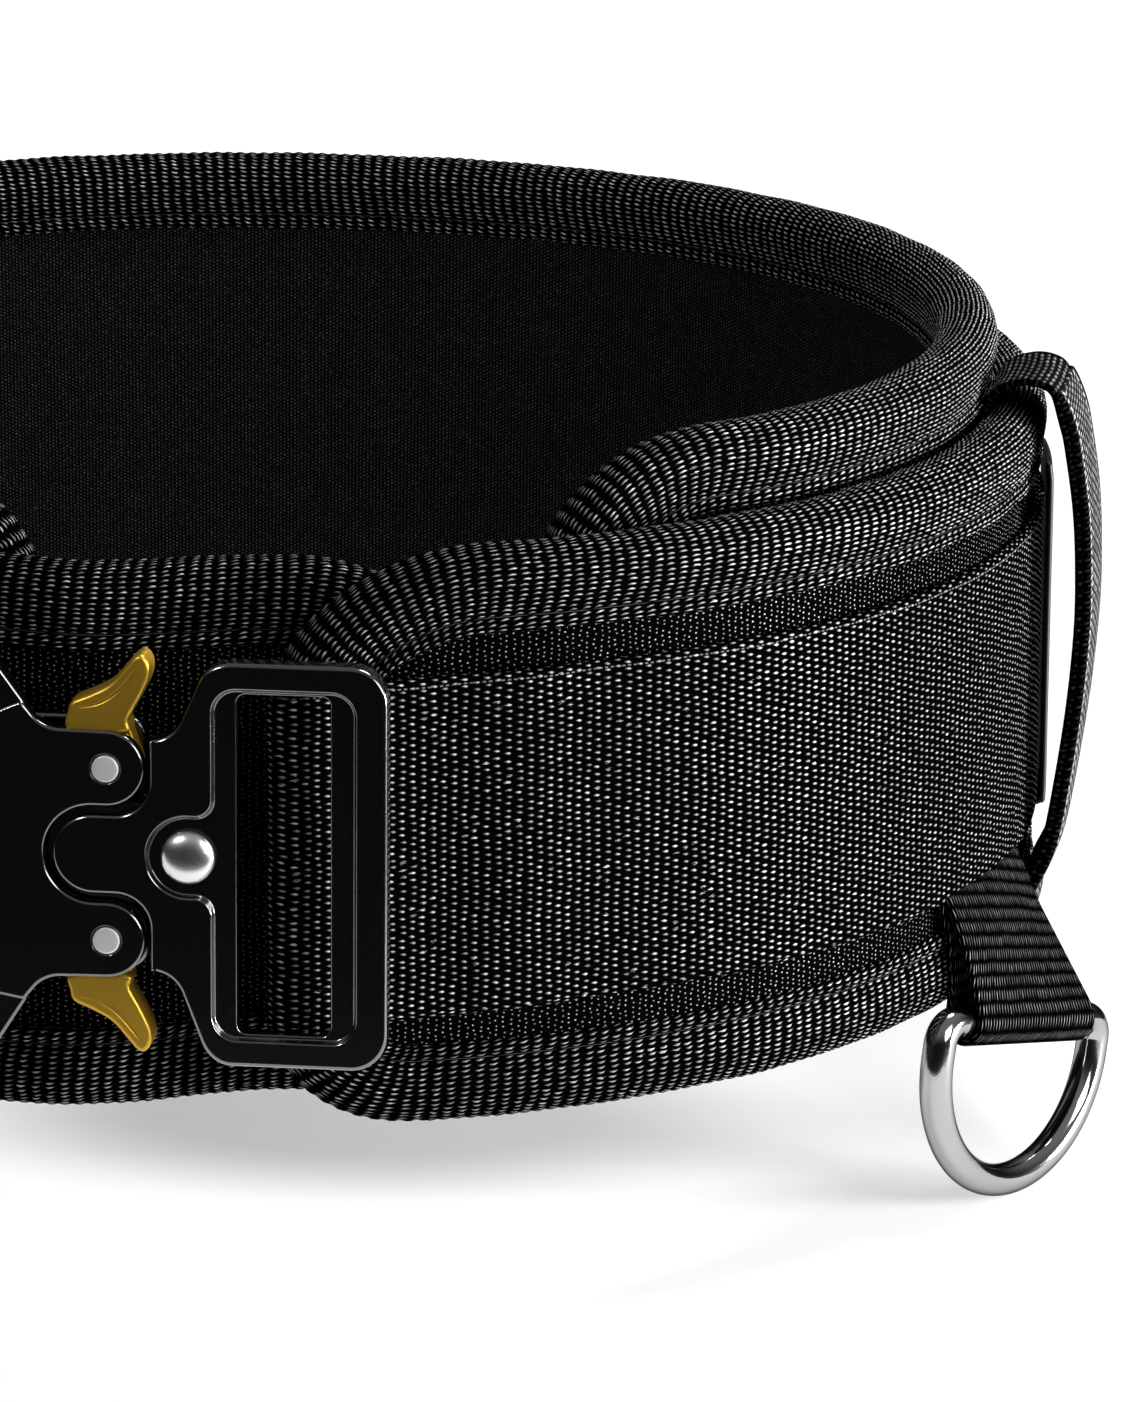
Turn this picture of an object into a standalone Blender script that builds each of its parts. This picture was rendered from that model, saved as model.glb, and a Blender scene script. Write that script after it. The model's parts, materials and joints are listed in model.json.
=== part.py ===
"""Dip belt: two padded layers round the waist, a wide strap, a quick release buckle and two D-rings.

Metres, +Z up. The origin is the middle of the waist opening, the buckle faces -Y and the
wearer's left side is +X. Places along the belt are arc lengths on the inner pad's middle
surface, counted from the front centre towards +X, with an offset outwards from that surface.
Pieces named right lie on the +X side, which is the right of the buckle seen from the front.
"""
import math
from dataclasses import dataclass

import bmesh
import bpy
import numpy as np
from mathutils import Vector

# Belt loop seen from above
HALF_WIDTH = 0.1355
FRONT_DEPTH = 0.1377
BACK_DEPTH = 0.1455
LOOP_POWER = 0.955
LOOP_SAMPLES = 2880
FRONT_REACH = 0.099
FRONT_STEP = 0.011
SIDE_STEP = 0.024

# Clearance between pieces that touch
GAP = 0.0003

# Pads and their bound edges
CORE_HALF = 0.0036
ROLL_RADIUS = 0.0056
TAPE_WALL = 0.0013
FLANGE_REACH = 0.009
TOP_CORNER = (0.030, 0.024)
BOTTOM_CORNER = (0.018, 0.014)
CORE_REACH = 0.0040
CORE_TAPER = 0.0030
CORE_TIP = 0.0014
CORNER_STEPS = 3

INNER_TOP = 0.0588
INNER_BOTTOM = -0.0440
INNER_RIGHT_END = 0.0780
INNER_LEFT_END = -0.0180
INNER_LEAN = 0.0020
INNER_TUCK = 0.0020
INNER_TUCK_START = 0.0125
INNER_TUCK_LENGTH = 0.035

OUTER_HALF = 0.0450
OUTER_OFFSET = 0.0095
OUTER_RIGHT_END = 0.0310
OUTER_FLAP_END = 0.0584
FLAP_OFFSET = -0.0020
FLAP_DIVE_START = -0.009
FLAP_DIVE_LENGTH = 0.036
FLAP_TOP_START = -0.070
FLAP_TOP_LENGTH = 0.110
FLAP_TOP_DROP = 0.0037
FLAP_BOTTOM_START = -0.110
FLAP_BOTTOM_LENGTH = 0.090
FLAP_BOTTOM_RISE = 0.0030

# Wide strap
STRAP_HALF = 0.0290
STRAP_THICK = 0.0020
STRAP_TAIL_END = 0.062
STRAP_TAIL_STEP = 0.008
STRAP_RUN_START = 0.050
STRAP_SETTLE_LENGTH = 0.016
STRAP_STEP_START = 0.044
STRAP_STEP_LENGTH = 0.008

# Buckle, in its own plane: x along the belt, z up, y depth from the front face
BUCKLE_FACE = -0.1620
LATCH_RISE = 0.0012
LATCH_REACH = 0.0125
LATCH_BLEND = 0.0095
FRAME_THICK = 0.0046
FRAME_X = 0.0496
FRAME_HALF = 0.0351
FRAME_CORNER = 0.0062
NECK_HALF = 0.0204
SLOT_IN = 0.0240
SLOT_OUT = 0.0399
SLOT_HALF = 0.0296
RECESS_IN = 0.0199
RECESS_OUT = 0.0443
RECESS_HALF = 0.0306
RECESS_DEPTH = 0.0012
RIVET_X = 0.0158
RIVET_LOBE = 0.0069
RIVET_RADIUS = 0.0046
RIVET_SHANK = 0.0020
PIN_X = 0.0019
PIN_Z = 0.0150
PIN_RADIUS = 0.0023
PIN_HOLE = 0.0026
LOBE_RADIUS = 0.0064
NOTCH_RADIUS = 0.0084
BOSS_RADIUS = 0.0069
HOUSING_HALF = 0.0222
HOUSING_PLATE = 0.0028
HOUSING_DEPTH = 0.0107
TONGUE_FRONT = 0.0031
TONGUE_BACK = 0.0071
TONGUE_ROOT = 0.0200
TONGUE_NECK_END = -0.0083
TONGUE_TIP = -0.0197
TONGUE_NECK_HALF = 0.0089
TONGUE_HEAD_HALF = 0.0120
SPACER_LEFT = -0.0237
SPACER_RIGHT = -0.0203
SPACER_HALF = 0.0130
BACK_PLATE_RIGHT = 0.0078
HUB_FRONT = 0.0034
HORN_FRONT = 0.0006
HORN_BACK = 0.0070
BAR_X = 0.0323
BAR_DEPTH = 0.0068
BAR_RADIUS = 0.0020
BAR_IN_EAR = 0.0025
BAR_WRAP = (105.0, 300.0)
EAR_LENGTH = 0.0040
EAR_HALF = 0.0032
EAR_IN_FRAME = 0.0012
SOCKET_DEPTH = 0.0030

# Side pieces: keeper, strap loop, ring tab and D-ring
KEEPER_SHIFT = 0.0195
KEEPER_WIDTH = 0.0190
KEEPER_WALL = 0.0013
KEEPER_TOP = 0.0362
KEEPER_BOTTOM = -0.0330
SIDE_STRAP_SHIFT = -0.0060
SIDE_STRAP_WIDTH = 0.0210
SIDE_STRAP_LAYER = 0.0015
TAB_LAYER = 0.0015
TAB_WIDTH = 0.0360
TAB_FROM = -0.0600
TAB_TO = -0.0270
TAB_COLUMNS = 5
RING_WIRE = 0.0030
RING_HALF = 0.0250
RING_CORNER = 0.0040
RING_SHOULDER = 0.0065
RING_DROP = 0.0298
RING_CENTRE = (0.1512, -0.0496, -0.0558)
RING_TURN = math.radians(32.0)
RING_TILT = math.radians(12.0)

COLLECTION = "dip_belt"
CUTTERS = "cutters"


def smooth(value):
    """Return 0 below 0, 1 above 1 and a smooth step between."""
    t = np.clip(value, 0.0, 1.0)
    return t * t * (3.0 - 2.0 * t)


def loop_table():
    """Return x, y and arc length of the belt loop from the front centre towards +X."""
    turn = np.linspace(0.0, 2.0 * math.pi, LOOP_SAMPLES + 1)
    sine, cosine = np.sin(turn), np.cos(turn)
    depth = np.where(cosine > 0.0, FRONT_DEPTH, BACK_DEPTH)
    x = HALF_WIDTH * np.sign(sine) * np.abs(sine) ** LOOP_POWER
    y = -depth * np.sign(cosine) * np.abs(cosine) ** LOOP_POWER
    steps = np.hypot(np.diff(x), np.diff(y))
    return x, y, np.concatenate(([0.0], np.cumsum(steps)))


LOOP_X, LOOP_Y, LOOP_S = loop_table()
LOOP_LENGTH = float(LOOP_S[-1])
SIDE_S = float(LOOP_S[LOOP_SAMPLES // 4])


def on_loop(s, offset):
    """Return the points at arc lengths s, moved outwards by offset, as an array of x and y."""
    s = np.mod(np.asarray(s, dtype=float), LOOP_LENGTH)
    x = np.interp(s, LOOP_S, LOOP_X)
    y = np.interp(s, LOOP_S, LOOP_Y)
    depth = np.where(y < 0.0, FRONT_DEPTH, BACK_DEPTH)
    power = 2.0 / LOOP_POWER - 1.0
    nx = np.sign(x) * np.abs(x / HALF_WIDTH) ** power / HALF_WIDTH
    ny = np.sign(y) * np.abs(y / depth) ** power / depth
    size = np.hypot(nx, ny)
    return np.stack((x + offset * nx / size, y + offset * ny / size), axis=-1)


def stations(first, last):
    """Return the belt's shared stations strictly between two arc lengths, which may pass the front."""
    front = np.arange(-FRONT_REACH, FRONT_REACH + FRONT_STEP / 2, FRONT_STEP)
    span = LOOP_LENGTH - 2.0 * FRONT_REACH
    sides = np.linspace(FRONT_REACH, LOOP_LENGTH - FRONT_REACH, round(span / SIDE_STEP) + 1)
    once = np.unique(np.round(np.concatenate((front, sides, front + LOOP_LENGTH)), 7))
    margin = 0.002
    return once[(once > first + margin) & (once < last - margin)]


def material(name, colour, roughness, metallic=0.0):
    """Return a Principled material."""
    made = bpy.data.materials.new(name)
    made.use_nodes = True
    shader = made.node_tree.nodes["Principled BSDF"]
    shader.inputs["Base Color"].default_value = (*colour, 1.0)
    shader.inputs["Roughness"].default_value = roughness
    shader.inputs["Metallic"].default_value = metallic
    made.diffuse_color = (*colour, 1.0)
    return made


def add_object(name, mesh, finish, group=COLLECTION):
    """Put a mesh in the scene as one named object with its own material."""
    piece = bpy.data.objects.new(name, mesh)
    bpy.data.collections[group].objects.link(piece)
    if finish is not None:
        mesh.materials.clear()
        mesh.materials.append(material(name, *finish))
    return piece


def mesh_from(name, points, faces):
    """Make a mesh whose faces point outwards."""
    mesh = bpy.data.meshes.new(name)
    mesh.from_pydata([tuple(p) for p in points], [], faces)
    work = bmesh.new()
    work.from_mesh(mesh)
    bmesh.ops.recalc_face_normals(work, faces=work.faces)
    work.to_mesh(mesh)
    work.free()
    return mesh


def loft(name, sections, closed, caps=None):
    """Join sections with the same number of points into one closed body, with the caps' faces at its ends."""
    sections = np.asarray(sections)
    rows, columns = sections.shape[:2]
    caps = caps or [range(columns)]
    faces = []
    for row in range(rows if closed else rows - 1):
        here, there = row * columns, ((row + 1) % rows) * columns
        for column in range(columns):
            after = (column + 1) % columns
            faces.append((here + column, here + after, there + after, there + column))
    if not closed:
        for start in (0, (rows - 1) * columns):
            faces += [tuple(start + column for column in cap) for cap in caps]
    return mesh_from(name, sections.reshape(-1, 3), faces)


def mirrored(mesh, name):
    """Return a copy of a mesh on the other side of the YZ plane."""
    copy = mesh.copy()
    copy.name = name
    for vertex in copy.vertices:
        vertex.co.x = -vertex.co.x
    copy.flip_normals()
    return copy


# Pads

@dataclass
class Pad:
    """A padded strip round the loop, between the centre lines of its end rolls."""

    first: float
    last: float

    def top(self, s):
        """Height of the top roll's centre."""
        return np.full_like(s, INNER_TOP)

    def bottom(self, s):
        """Height of the bottom roll's centre."""
        return np.full_like(s, INNER_BOTTOM)

    def offset(self, s, z):
        """Offset of the middle surface: it leans in at the bottom and tucks in at both ends."""
        lean = INNER_LEAN * (INNER_TOP - z) / (INNER_TOP - INNER_BOTTOM)
        inside = np.minimum(s - self.first, self.last - s)
        tuck = INNER_TUCK * (1.0 - smooth((inside - INNER_TUCK_START) / INNER_TUCK_LENGTH))
        return -lean - tuck

    def skin(self, s, z, w):
        """Return points at arc length s and height z, w out from the middle surface."""
        s, z, w = (np.asarray(part, dtype=float) for part in (s, z, w))
        flat = on_loop(s, self.offset(s, z) + w)
        return np.concatenate((flat, z[..., None]), axis=-1)


class OuterPad(Pad):
    """The outer strip, whose left end dives under its right end as a flap."""

    def top(self, s):
        return OUTER_HALF - FLAP_TOP_DROP * smooth((s - LOOP_LENGTH - FLAP_TOP_START) / FLAP_TOP_LENGTH)

    def bottom(self, s):
        share = smooth((s - LOOP_LENGTH - FLAP_BOTTOM_START) / FLAP_BOTTOM_LENGTH)
        return -OUTER_HALF + FLAP_BOTTOM_RISE * share

    def offset(self, s, z):
        dive = smooth((s - LOOP_LENGTH - FLAP_DIVE_START) / FLAP_DIVE_LENGTH)
        return OUTER_OFFSET + (FLAP_OFFSET - OUTER_OFFSET) * dive + 0.0 * z


def corner_angles(start):
    """Return the angles of one quarter turn of a pad's corner."""
    return np.linspace(start, start + math.pi / 2, CORNER_STEPS + 1)


def corner_rows(s, z, size, start):
    """Return the rows of one quarter of an ellipse, with its outward directions."""
    rows = []
    for a in corner_angles(start):
        c, d = math.cos(a), math.sin(a)
        out = Vector((c / size[0], d / size[1])).normalized()
        rows.append((s + size[0] * c, z + size[1] * d, out.x, out.y))
    return rows


def edge_path(pad):
    """Return s, z and the outward direction of every station round a pad's edge."""
    wide_top, high_top = TOP_CORNER
    wide_bottom, high_bottom = BOTTOM_CORNER
    bottom_ends = np.array([pad.first + wide_bottom, pad.last - wide_bottom])
    top_ends = np.array([pad.first + wide_top, pad.last - wide_top])
    bottom_low, bottom_high = pad.bottom(bottom_ends) + high_bottom
    top_low, top_high = pad.top(top_ends) - high_top
    low_run = stations(*bottom_ends)
    high_run = stations(*top_ends)[::-1]
    rows = [(s, z, 0.0, -1.0) for s, z in zip(low_run, pad.bottom(low_run))]
    rows += corner_rows(bottom_ends[1], bottom_high, BOTTOM_CORNER, -math.pi / 2)
    rows += corner_rows(top_ends[1], top_high, TOP_CORNER, 0.0)
    rows += [(s, z, 0.0, 1.0) for s, z in zip(high_run, pad.top(high_run))]
    rows += corner_rows(top_ends[0], top_low, TOP_CORNER, math.pi / 2)
    rows += corner_rows(bottom_ends[0], bottom_low, BOTTOM_CORNER, math.pi)
    return np.array(rows)


def binding_profile():
    """Return the bound edge's section: reach out of the edge, and distance from the middle."""
    flange = CORE_HALF + GAP + TAPE_WALL
    inside = CORE_HALF + GAP
    rim = [(-FLANGE_REACH, flange)]
    for a in np.radians((80.0, 30.0, -30.0, -80.0)):
        rim.append((ROLL_RADIUS * math.cos(a), ROLL_RADIUS * math.sin(a)))
    rim.append((-FLANGE_REACH, -flange))
    bottom, tip = CORE_REACH + GAP, CORE_TIP + GAP
    well = [(-FLANGE_REACH, inside), (bottom - CORE_TAPER, inside), (bottom, tip)]
    return rim + [(reach, -w) for reach, w in well] + well[::-1]


def build_binding(pad, name, finish):
    """Carry the bound edge's section once round the pad."""
    profile = np.array(binding_profile())
    path = edge_path(pad)
    s = path[:, None, 0] + profile[None, :, 0] * path[:, None, 2]
    z = path[:, None, 1] + profile[None, :, 0] * path[:, None, 3]
    w = np.broadcast_to(profile[None, :, 1], s.shape)
    return add_object(name, loft(name, pad.skin(s, z, w), closed=True), finish)


def build_core(pad, name, finish):
    """Loft the pad's foam core through upright sections; its rim tapers and its corners are round."""
    # One column for each point of the section: reach of its edge, side of the belt, up or down
    rim, face = CORE_REACH, CORE_REACH - CORE_TAPER
    edge = np.array([rim, rim, face, face, rim, rim, face, face])
    side = np.array([-CORE_TIP, CORE_TIP, CORE_HALF, CORE_HALF, CORE_TIP, -CORE_TIP, -CORE_HALF, -CORE_HALF])
    is_top = np.array([False, False, False, True, True, True, True, False])
    wide = np.where(is_top, TOP_CORNER[0], BOTTOM_CORNER[0])
    high = np.where(is_top, TOP_CORNER[1], BOTTOM_CORNER[1])
    reach = TOP_CORNER[0]
    middle = stations(pad.first + reach, pad.last - reach)
    quarter = corner_angles(0.0)
    along = np.concatenate((-np.cos(quarter), np.zeros(len(middle)), np.cos(quarter[::-1])))
    upward = np.concatenate((np.sin(quarter), np.ones(len(middle)), np.sin(quarter[::-1])))
    first = np.tile(pad.first + wide, (len(quarter), 1))
    last = np.tile(pad.last - wide, (len(quarter), 1))
    base = np.concatenate((first, np.tile(middle[:, None], (1, len(edge))), last))
    s = base + along[:, None] * (wide + edge)[None, :]
    rise = upward[:, None] * (high + edge)[None, :] - high[None, :]
    z = np.where(is_top[None, :], pad.top(base) + rise, pad.bottom(base) - rise)
    w = np.broadcast_to(side, s.shape)
    ends = [(0, 1, 4, 5), (1, 2, 3, 4), (0, 5, 6, 7)]
    return add_object(name, loft(name, pad.skin(s, z, w), closed=False, caps=ends), finish)


# Wide strap

def strap_path():
    """Return the strap's centre line in plan on the +X side, from its tail to the belt's back."""
    lift = CORE_HALF + GAP + STRAP_THICK / 2
    over_roll = ROLL_RADIUS - CORE_HALF

    def lower_layer(s):
        return lift + over_roll * (1.0 - smooth((s - STRAP_STEP_START) / STRAP_STEP_LENGTH))

    tail = np.array([STRAP_TAIL_END, STRAP_TAIL_END - STRAP_TAIL_STEP, STRAP_TAIL_END - 2 * STRAP_TAIL_STEP])
    turn = BAR_RADIUS + GAP + STRAP_THICK / 2
    centre = np.array([BAR_X, BUCKLE_FACE + BAR_DEPTH])
    angles = np.radians(np.linspace(*BAR_WRAP, 8))
    round_bar = centre + turn * np.stack((np.cos(angles), np.sin(angles)), axis=1)
    s = stations(STRAP_RUN_START, LOOP_LENGTH / 2)
    over_tail = (STRAP_THICK + GAP) * (1.0 - smooth((s - STRAP_TAIL_END) / STRAP_SETTLE_LENGTH))
    doubled = on_loop(tail, OUTER_OFFSET + lower_layer(tail))
    outer_run = on_loop(s, OUTER_OFFSET + lower_layer(s) + over_tail)
    return np.concatenate((doubled, round_bar, outer_run))


def build_wide_strap(finish):
    """Stand the strap's centre line up as a sheet and give it its thickness."""
    half = strap_path()
    back = on_loop(LOOP_LENGTH / 2, OUTER_OFFSET + CORE_HALF + GAP + STRAP_THICK / 2)
    other = half[::-1] * np.array([-1.0, 1.0])
    plan = np.concatenate((half, back[None, :], other))
    count = len(plan)
    points = [(x, y, -STRAP_HALF) for x, y in plan] + [(x, y, STRAP_HALF) for x, y in plan]
    faces = [(i, i + 1, count + i + 1, count + i) for i in range(count - 1)]
    mesh = bpy.data.meshes.new("wide_strap")
    mesh.from_pydata(points, [], faces)
    piece = add_object("wide_strap", mesh, finish)
    wall = piece.modifiers.new("thickness", "SOLIDIFY")
    wall.thickness = STRAP_THICK
    wall.offset = 0.0
    wall.use_even_offset = True
    return piece


# Plates of the buckle

def arc(cx, cz, radius, start, end, steps):
    """Return points on an arc, angles in degrees from +X towards +Z."""
    angles = np.radians(np.linspace(start, end, steps + 1))
    return [(cx + radius * math.cos(a), cz + radius * math.sin(a)) for a in angles]


def circle(cx, cz, radius, steps=12):
    """Return a closed circle's points."""
    return arc(cx, cz, radius, 0.0, 360.0, steps)[:-1]


def rounded(corners, steps=3):
    """Round the corners of a closed outline, each corner given as x, z and a radius."""
    points = []
    count = len(corners)
    for index, (x, z, radius) in enumerate(corners):
        here = Vector((x, z))
        before = Vector(corners[index - 1][:2]) - here
        after = Vector(corners[(index + 1) % count][:2]) - here
        if radius == 0.0:
            points.append((x, z))
            continue
        half = before.angle(after) / 2
        back = radius / math.tan(half)
        centre = here + (before.normalized() + after.normalized()).normalized() * radius / math.sin(half)
        start = here + before.normalized() * back - centre
        end = here + after.normalized() * back - centre
        first = math.atan2(start.y, start.x)
        swing = (math.atan2(end.y, end.x) - first + math.pi) % (2 * math.pi) - math.pi
        for step in range(steps + 1):
            a = first + swing * step / steps
            points.append((centre.x + radius * math.cos(a), centre.y + radius * math.sin(a)))
    return points


def both_halves(upper):
    """Close an outline whose upper half runs between two points on the x axis' mirror."""
    return upper + [(x, -z) for x, z in reversed(upper)]


def with_rise(points):
    """Lift the latch's part of an outline and blend into the strap frame's part, which stays."""
    return [(x, z + LATCH_RISE * (1.0 - smooth((abs(x) - LATCH_REACH) / LATCH_BLEND))) for x, z in points]


def plate(name, outlines, front, back, finish=None, rise=0.0):
    """Extrude flat outlines, outer one first, between two depths behind the buckle's face."""
    curve = bpy.data.curves.new(name, "CURVE")
    curve.dimensions = "2D"
    curve.fill_mode = "BOTH"
    curve.extrude = (back - front) / 2
    curve.render_resolution_u = 0
    for outline in outlines:
        spline = curve.splines.new("POLY")
        spline.points.add(len(outline) - 1)
        for point, (x, z) in zip(spline.points, outline):
            point.co = (x, z, 0.0, 1.0)
        spline.use_cyclic_u = True
    holder = bpy.data.objects.new(name + "_outline", curve)
    bpy.data.collections[CUTTERS].objects.link(holder)
    holder.rotation_euler = (math.pi / 2, 0.0, 0.0)
    holder.location = (0.0, BUCKLE_FACE + (front + back) / 2, rise)
    bpy.context.view_layer.update()
    seen = holder.evaluated_get(bpy.context.evaluated_depsgraph_get())
    mesh = bpy.data.meshes.new_from_object(seen)
    mesh.name = name
    mesh.transform(holder.matrix_world)
    bpy.data.objects.remove(holder)
    work = bmesh.new()
    work.from_mesh(mesh)
    bmesh.ops.remove_doubles(work, verts=work.verts, dist=1e-6)
    bmesh.ops.recalc_face_normals(work, faces=work.faces)
    work.to_mesh(mesh)
    work.free()
    return add_object(name, mesh, finish, COLLECTION if finish else CUTTERS)


def rod(name, x, z, radius, front, back, finish=None, sides=12):
    """Make a round rod of the latch along the buckle's depth."""
    return plate(name, [circle(x, z, radius, sides)], front, back, finish, LATCH_RISE)


def combine(piece, other, operation):
    """Add a Boolean modifier and hide its second operand."""
    change = piece.modifiers.new(other.name, "BOOLEAN")
    change.operation = operation
    change.object = other
    change.solver = "EXACT"
    other.hide_render = True
    other.display_type = "WIRE"


def chamfer(piece, width):
    """Take a small bevel along a piece's sharp edges."""
    bevel = piece.modifiers.new("edge", "BEVEL")
    bevel.width = width
    bevel.segments = 1
    bevel.limit_method = "ANGLE"
    bevel.angle_limit = math.radians(50.0)


def frame_outline():
    """Return the outer edge of the strap frame's upper half, from its neck out to its end."""
    corners = [
        (0.0112, NECK_HALF, 0.0),
        (0.0158, 0.0250, 0.0),
        (0.0178, 0.0299, 0.0),
        (0.0227, FRAME_HALF, 0.0),
    ]
    points = [corner[:2] for corner in corners]
    return points + arc(FRAME_X - FRAME_CORNER, FRAME_HALF - FRAME_CORNER, FRAME_CORNER, 90.0, 0.0, 3)


def slot_outline(side):
    """Return the slot that the wide strap passes through."""
    corners = [
        (SLOT_IN, SLOT_HALF, 0.0012), (SLOT_OUT, SLOT_HALF, 0.0012),
        (SLOT_OUT, -SLOT_HALF, 0.0012), (SLOT_IN, -SLOT_HALF, 0.0012),
    ]
    return [(side * x, z) for x, z in rounded(corners, 1)]


def recess_outline(side, with_lobe):
    """Return the sunk field round the slot, with a round lobe under the rivet."""
    corner = 0.0042
    upper = arc(RECESS_OUT - corner, RECESS_HALF - corner, corner, 0.0, 90.0, 2)
    upper += arc(RECESS_IN + corner, RECESS_HALF - corner, corner, 90.0, 180.0, 2)
    lower = [(x, -z) for x, z in reversed(upper)]
    lobe = []
    if with_lobe:
        reach = math.degrees(math.acos((RECESS_IN - RIVET_X) / RIVET_LOBE))
        lobe = arc(RIVET_X, LATCH_RISE, RIVET_LOBE, reach, 360.0 - reach, 11)
    return [(side * x, z) for x, z in upper + lobe + lower]


def bar_ears(side, name):
    """Return the ears behind a frame that carry the strap's bar, and their sockets."""
    ears, sockets = [], []
    for end, sign in (("upper", 1.0), ("lower", -1.0)):
        low, high = SLOT_HALF - 0.0002, SLOT_HALF + EAR_LENGTH
        box = [(side * (BAR_X - EAR_HALF), sign * low), (side * (BAR_X + EAR_HALF), sign * low),
               (side * (BAR_X + EAR_HALF), sign * high), (side * (BAR_X - EAR_HALF), sign * high)]
        ears.append(plate(f"{name}_{end}_ear", [box], FRAME_THICK - EAR_IN_FRAME, BAR_DEPTH + EAR_HALF))
        bpy.ops.mesh.primitive_cylinder_add(
            vertices=12, radius=BAR_RADIUS + GAP, depth=2 * SOCKET_DEPTH,
            location=(side * BAR_X, BUCKLE_FACE + BAR_DEPTH, sign * (SLOT_HALF + 0.0001)))
        socket = bpy.context.object
        socket.name = f"{name}_{end}_socket"
        bpy.context.collection.objects.unlink(socket)
        bpy.data.collections[CUTTERS].objects.link(socket)
        sockets.append(socket)
    return ears, sockets


def build_tongue_frame(finish):
    """Make the male half: strap frame, neck with its boss, and the tongue behind."""
    upper = arc(-0.0003, 0.0, BOSS_RADIUS, 180.0, 90.0, 4)
    ring = LOBE_RADIUS + 2 * GAP
    upper += arc(PIN_X, PIN_Z, ring, -70.0, 25.0, 5)
    upper.append((PIN_X + ring, NECK_HALF - 0.0006))
    upper += frame_outline()
    outline = with_rise(both_halves(upper))
    frame = plate("buckle_frame", [outline, slot_outline(1.0)], 0.0, FRAME_THICK, finish)
    head, neck = TONGUE_HEAD_HALF, TONGUE_NECK_HALF
    tongue_shape = rounded([
        (TONGUE_ROOT, neck, 0.0), (TONGUE_NECK_END, neck, 0.0), (TONGUE_NECK_END, head, 0.0010),
        (TONGUE_TIP, head, 0.0030), (TONGUE_TIP, -head, 0.0030), (TONGUE_NECK_END, -head, 0.0010),
        (TONGUE_NECK_END, -neck, 0.0), (TONGUE_ROOT, -neck, 0.0),
    ], 2)
    tongue = plate("tongue", [tongue_shape], TONGUE_FRONT, TONGUE_BACK, rise=LATCH_RISE)
    combine(frame, tongue, "UNION")
    ears, sockets = bar_ears(1.0, "frame")
    for ear in ears:
        combine(frame, ear, "UNION")
    combine(frame, plate("frame_recess", [recess_outline(1.0, True)], -0.001, RECESS_DEPTH), "DIFFERENCE")
    rivet_hole = circle(RIVET_X, 0.0, RIVET_SHANK + GAP)
    combine(frame, plate("rivet_hole", [rivet_hole], -0.001, TONGUE_BACK + 0.001, rise=LATCH_RISE), "DIFFERENCE")
    for socket in sockets:
        combine(frame, socket, "DIFFERENCE")
    chamfer(frame, 0.0005)
    return frame


def build_housing(finish):
    """Make the female half: front plate with two lobes, back plate, spacer and strap frame."""
    upper = [(-x, z) for x, z in reversed(frame_outline()[3:])]
    upper += [(-0.0168, FRAME_HALF - 0.0006), (-0.0112, 0.0262), (-0.0082, 0.0238), (-0.0042, HOUSING_HALF)]
    upper += arc(PIN_X, PIN_Z, LOBE_RADIUS + 0.0005, 88.0, -50.0, 6)
    upper += arc(0.0, 0.0, NOTCH_RADIUS, 74.0, 180.0, 5)
    outline = with_rise(both_halves(upper[::-1]))
    holes = [circle(PIN_X, PIN_Z, PIN_HOLE), circle(PIN_X, -PIN_Z, PIN_HOLE)]
    housing = plate("buckle_housing", [outline, slot_outline(-1.0), *map(with_rise, holes)],
                    0.0, HOUSING_PLATE, finish)
    frame_half = [(-0.0205, FRAME_HALF - 0.0010)] + [(-x, z) for x, z in frame_outline()[3:]]
    frame = plate("housing_frame", [both_halves(frame_half), slot_outline(-1.0)], 0.0012, FRAME_THICK)
    combine(housing, frame, "UNION")
    right, left, half = BACK_PLATE_RIGHT, SPACER_LEFT, HOUSING_HALF
    back_shape = rounded([
        (left, half, 0.0015), (right, half, 0.0040), (right, -half, 0.0040), (left, -half, 0.0015),
    ], 3)
    back_start = HOUSING_DEPTH - HOUSING_PLATE
    spacer_shape = [(left, SPACER_HALF), (SPACER_RIGHT, SPACER_HALF), (SPACER_RIGHT, -SPACER_HALF),
                    (left, -SPACER_HALF)]
    spacer = plate("spacer", [spacer_shape], 0.0014, back_start + 0.0010, rise=LATCH_RISE)
    combine(housing, spacer, "UNION")
    back_plate = plate("back_plate", [back_shape, *holes], back_start, HOUSING_DEPTH, rise=LATCH_RISE)
    combine(housing, back_plate, "UNION")
    ears, sockets = bar_ears(-1.0, "housing")
    for ear in ears:
        combine(housing, ear, "UNION")
    combine(housing, plate("housing_recess", [recess_outline(-1.0, False)], -0.001, RECESS_DEPTH),
            "DIFFERENCE")
    for socket in sockets:
        combine(housing, socket, "DIFFERENCE")
    chamfer(housing, 0.0005)
    return housing


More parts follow.
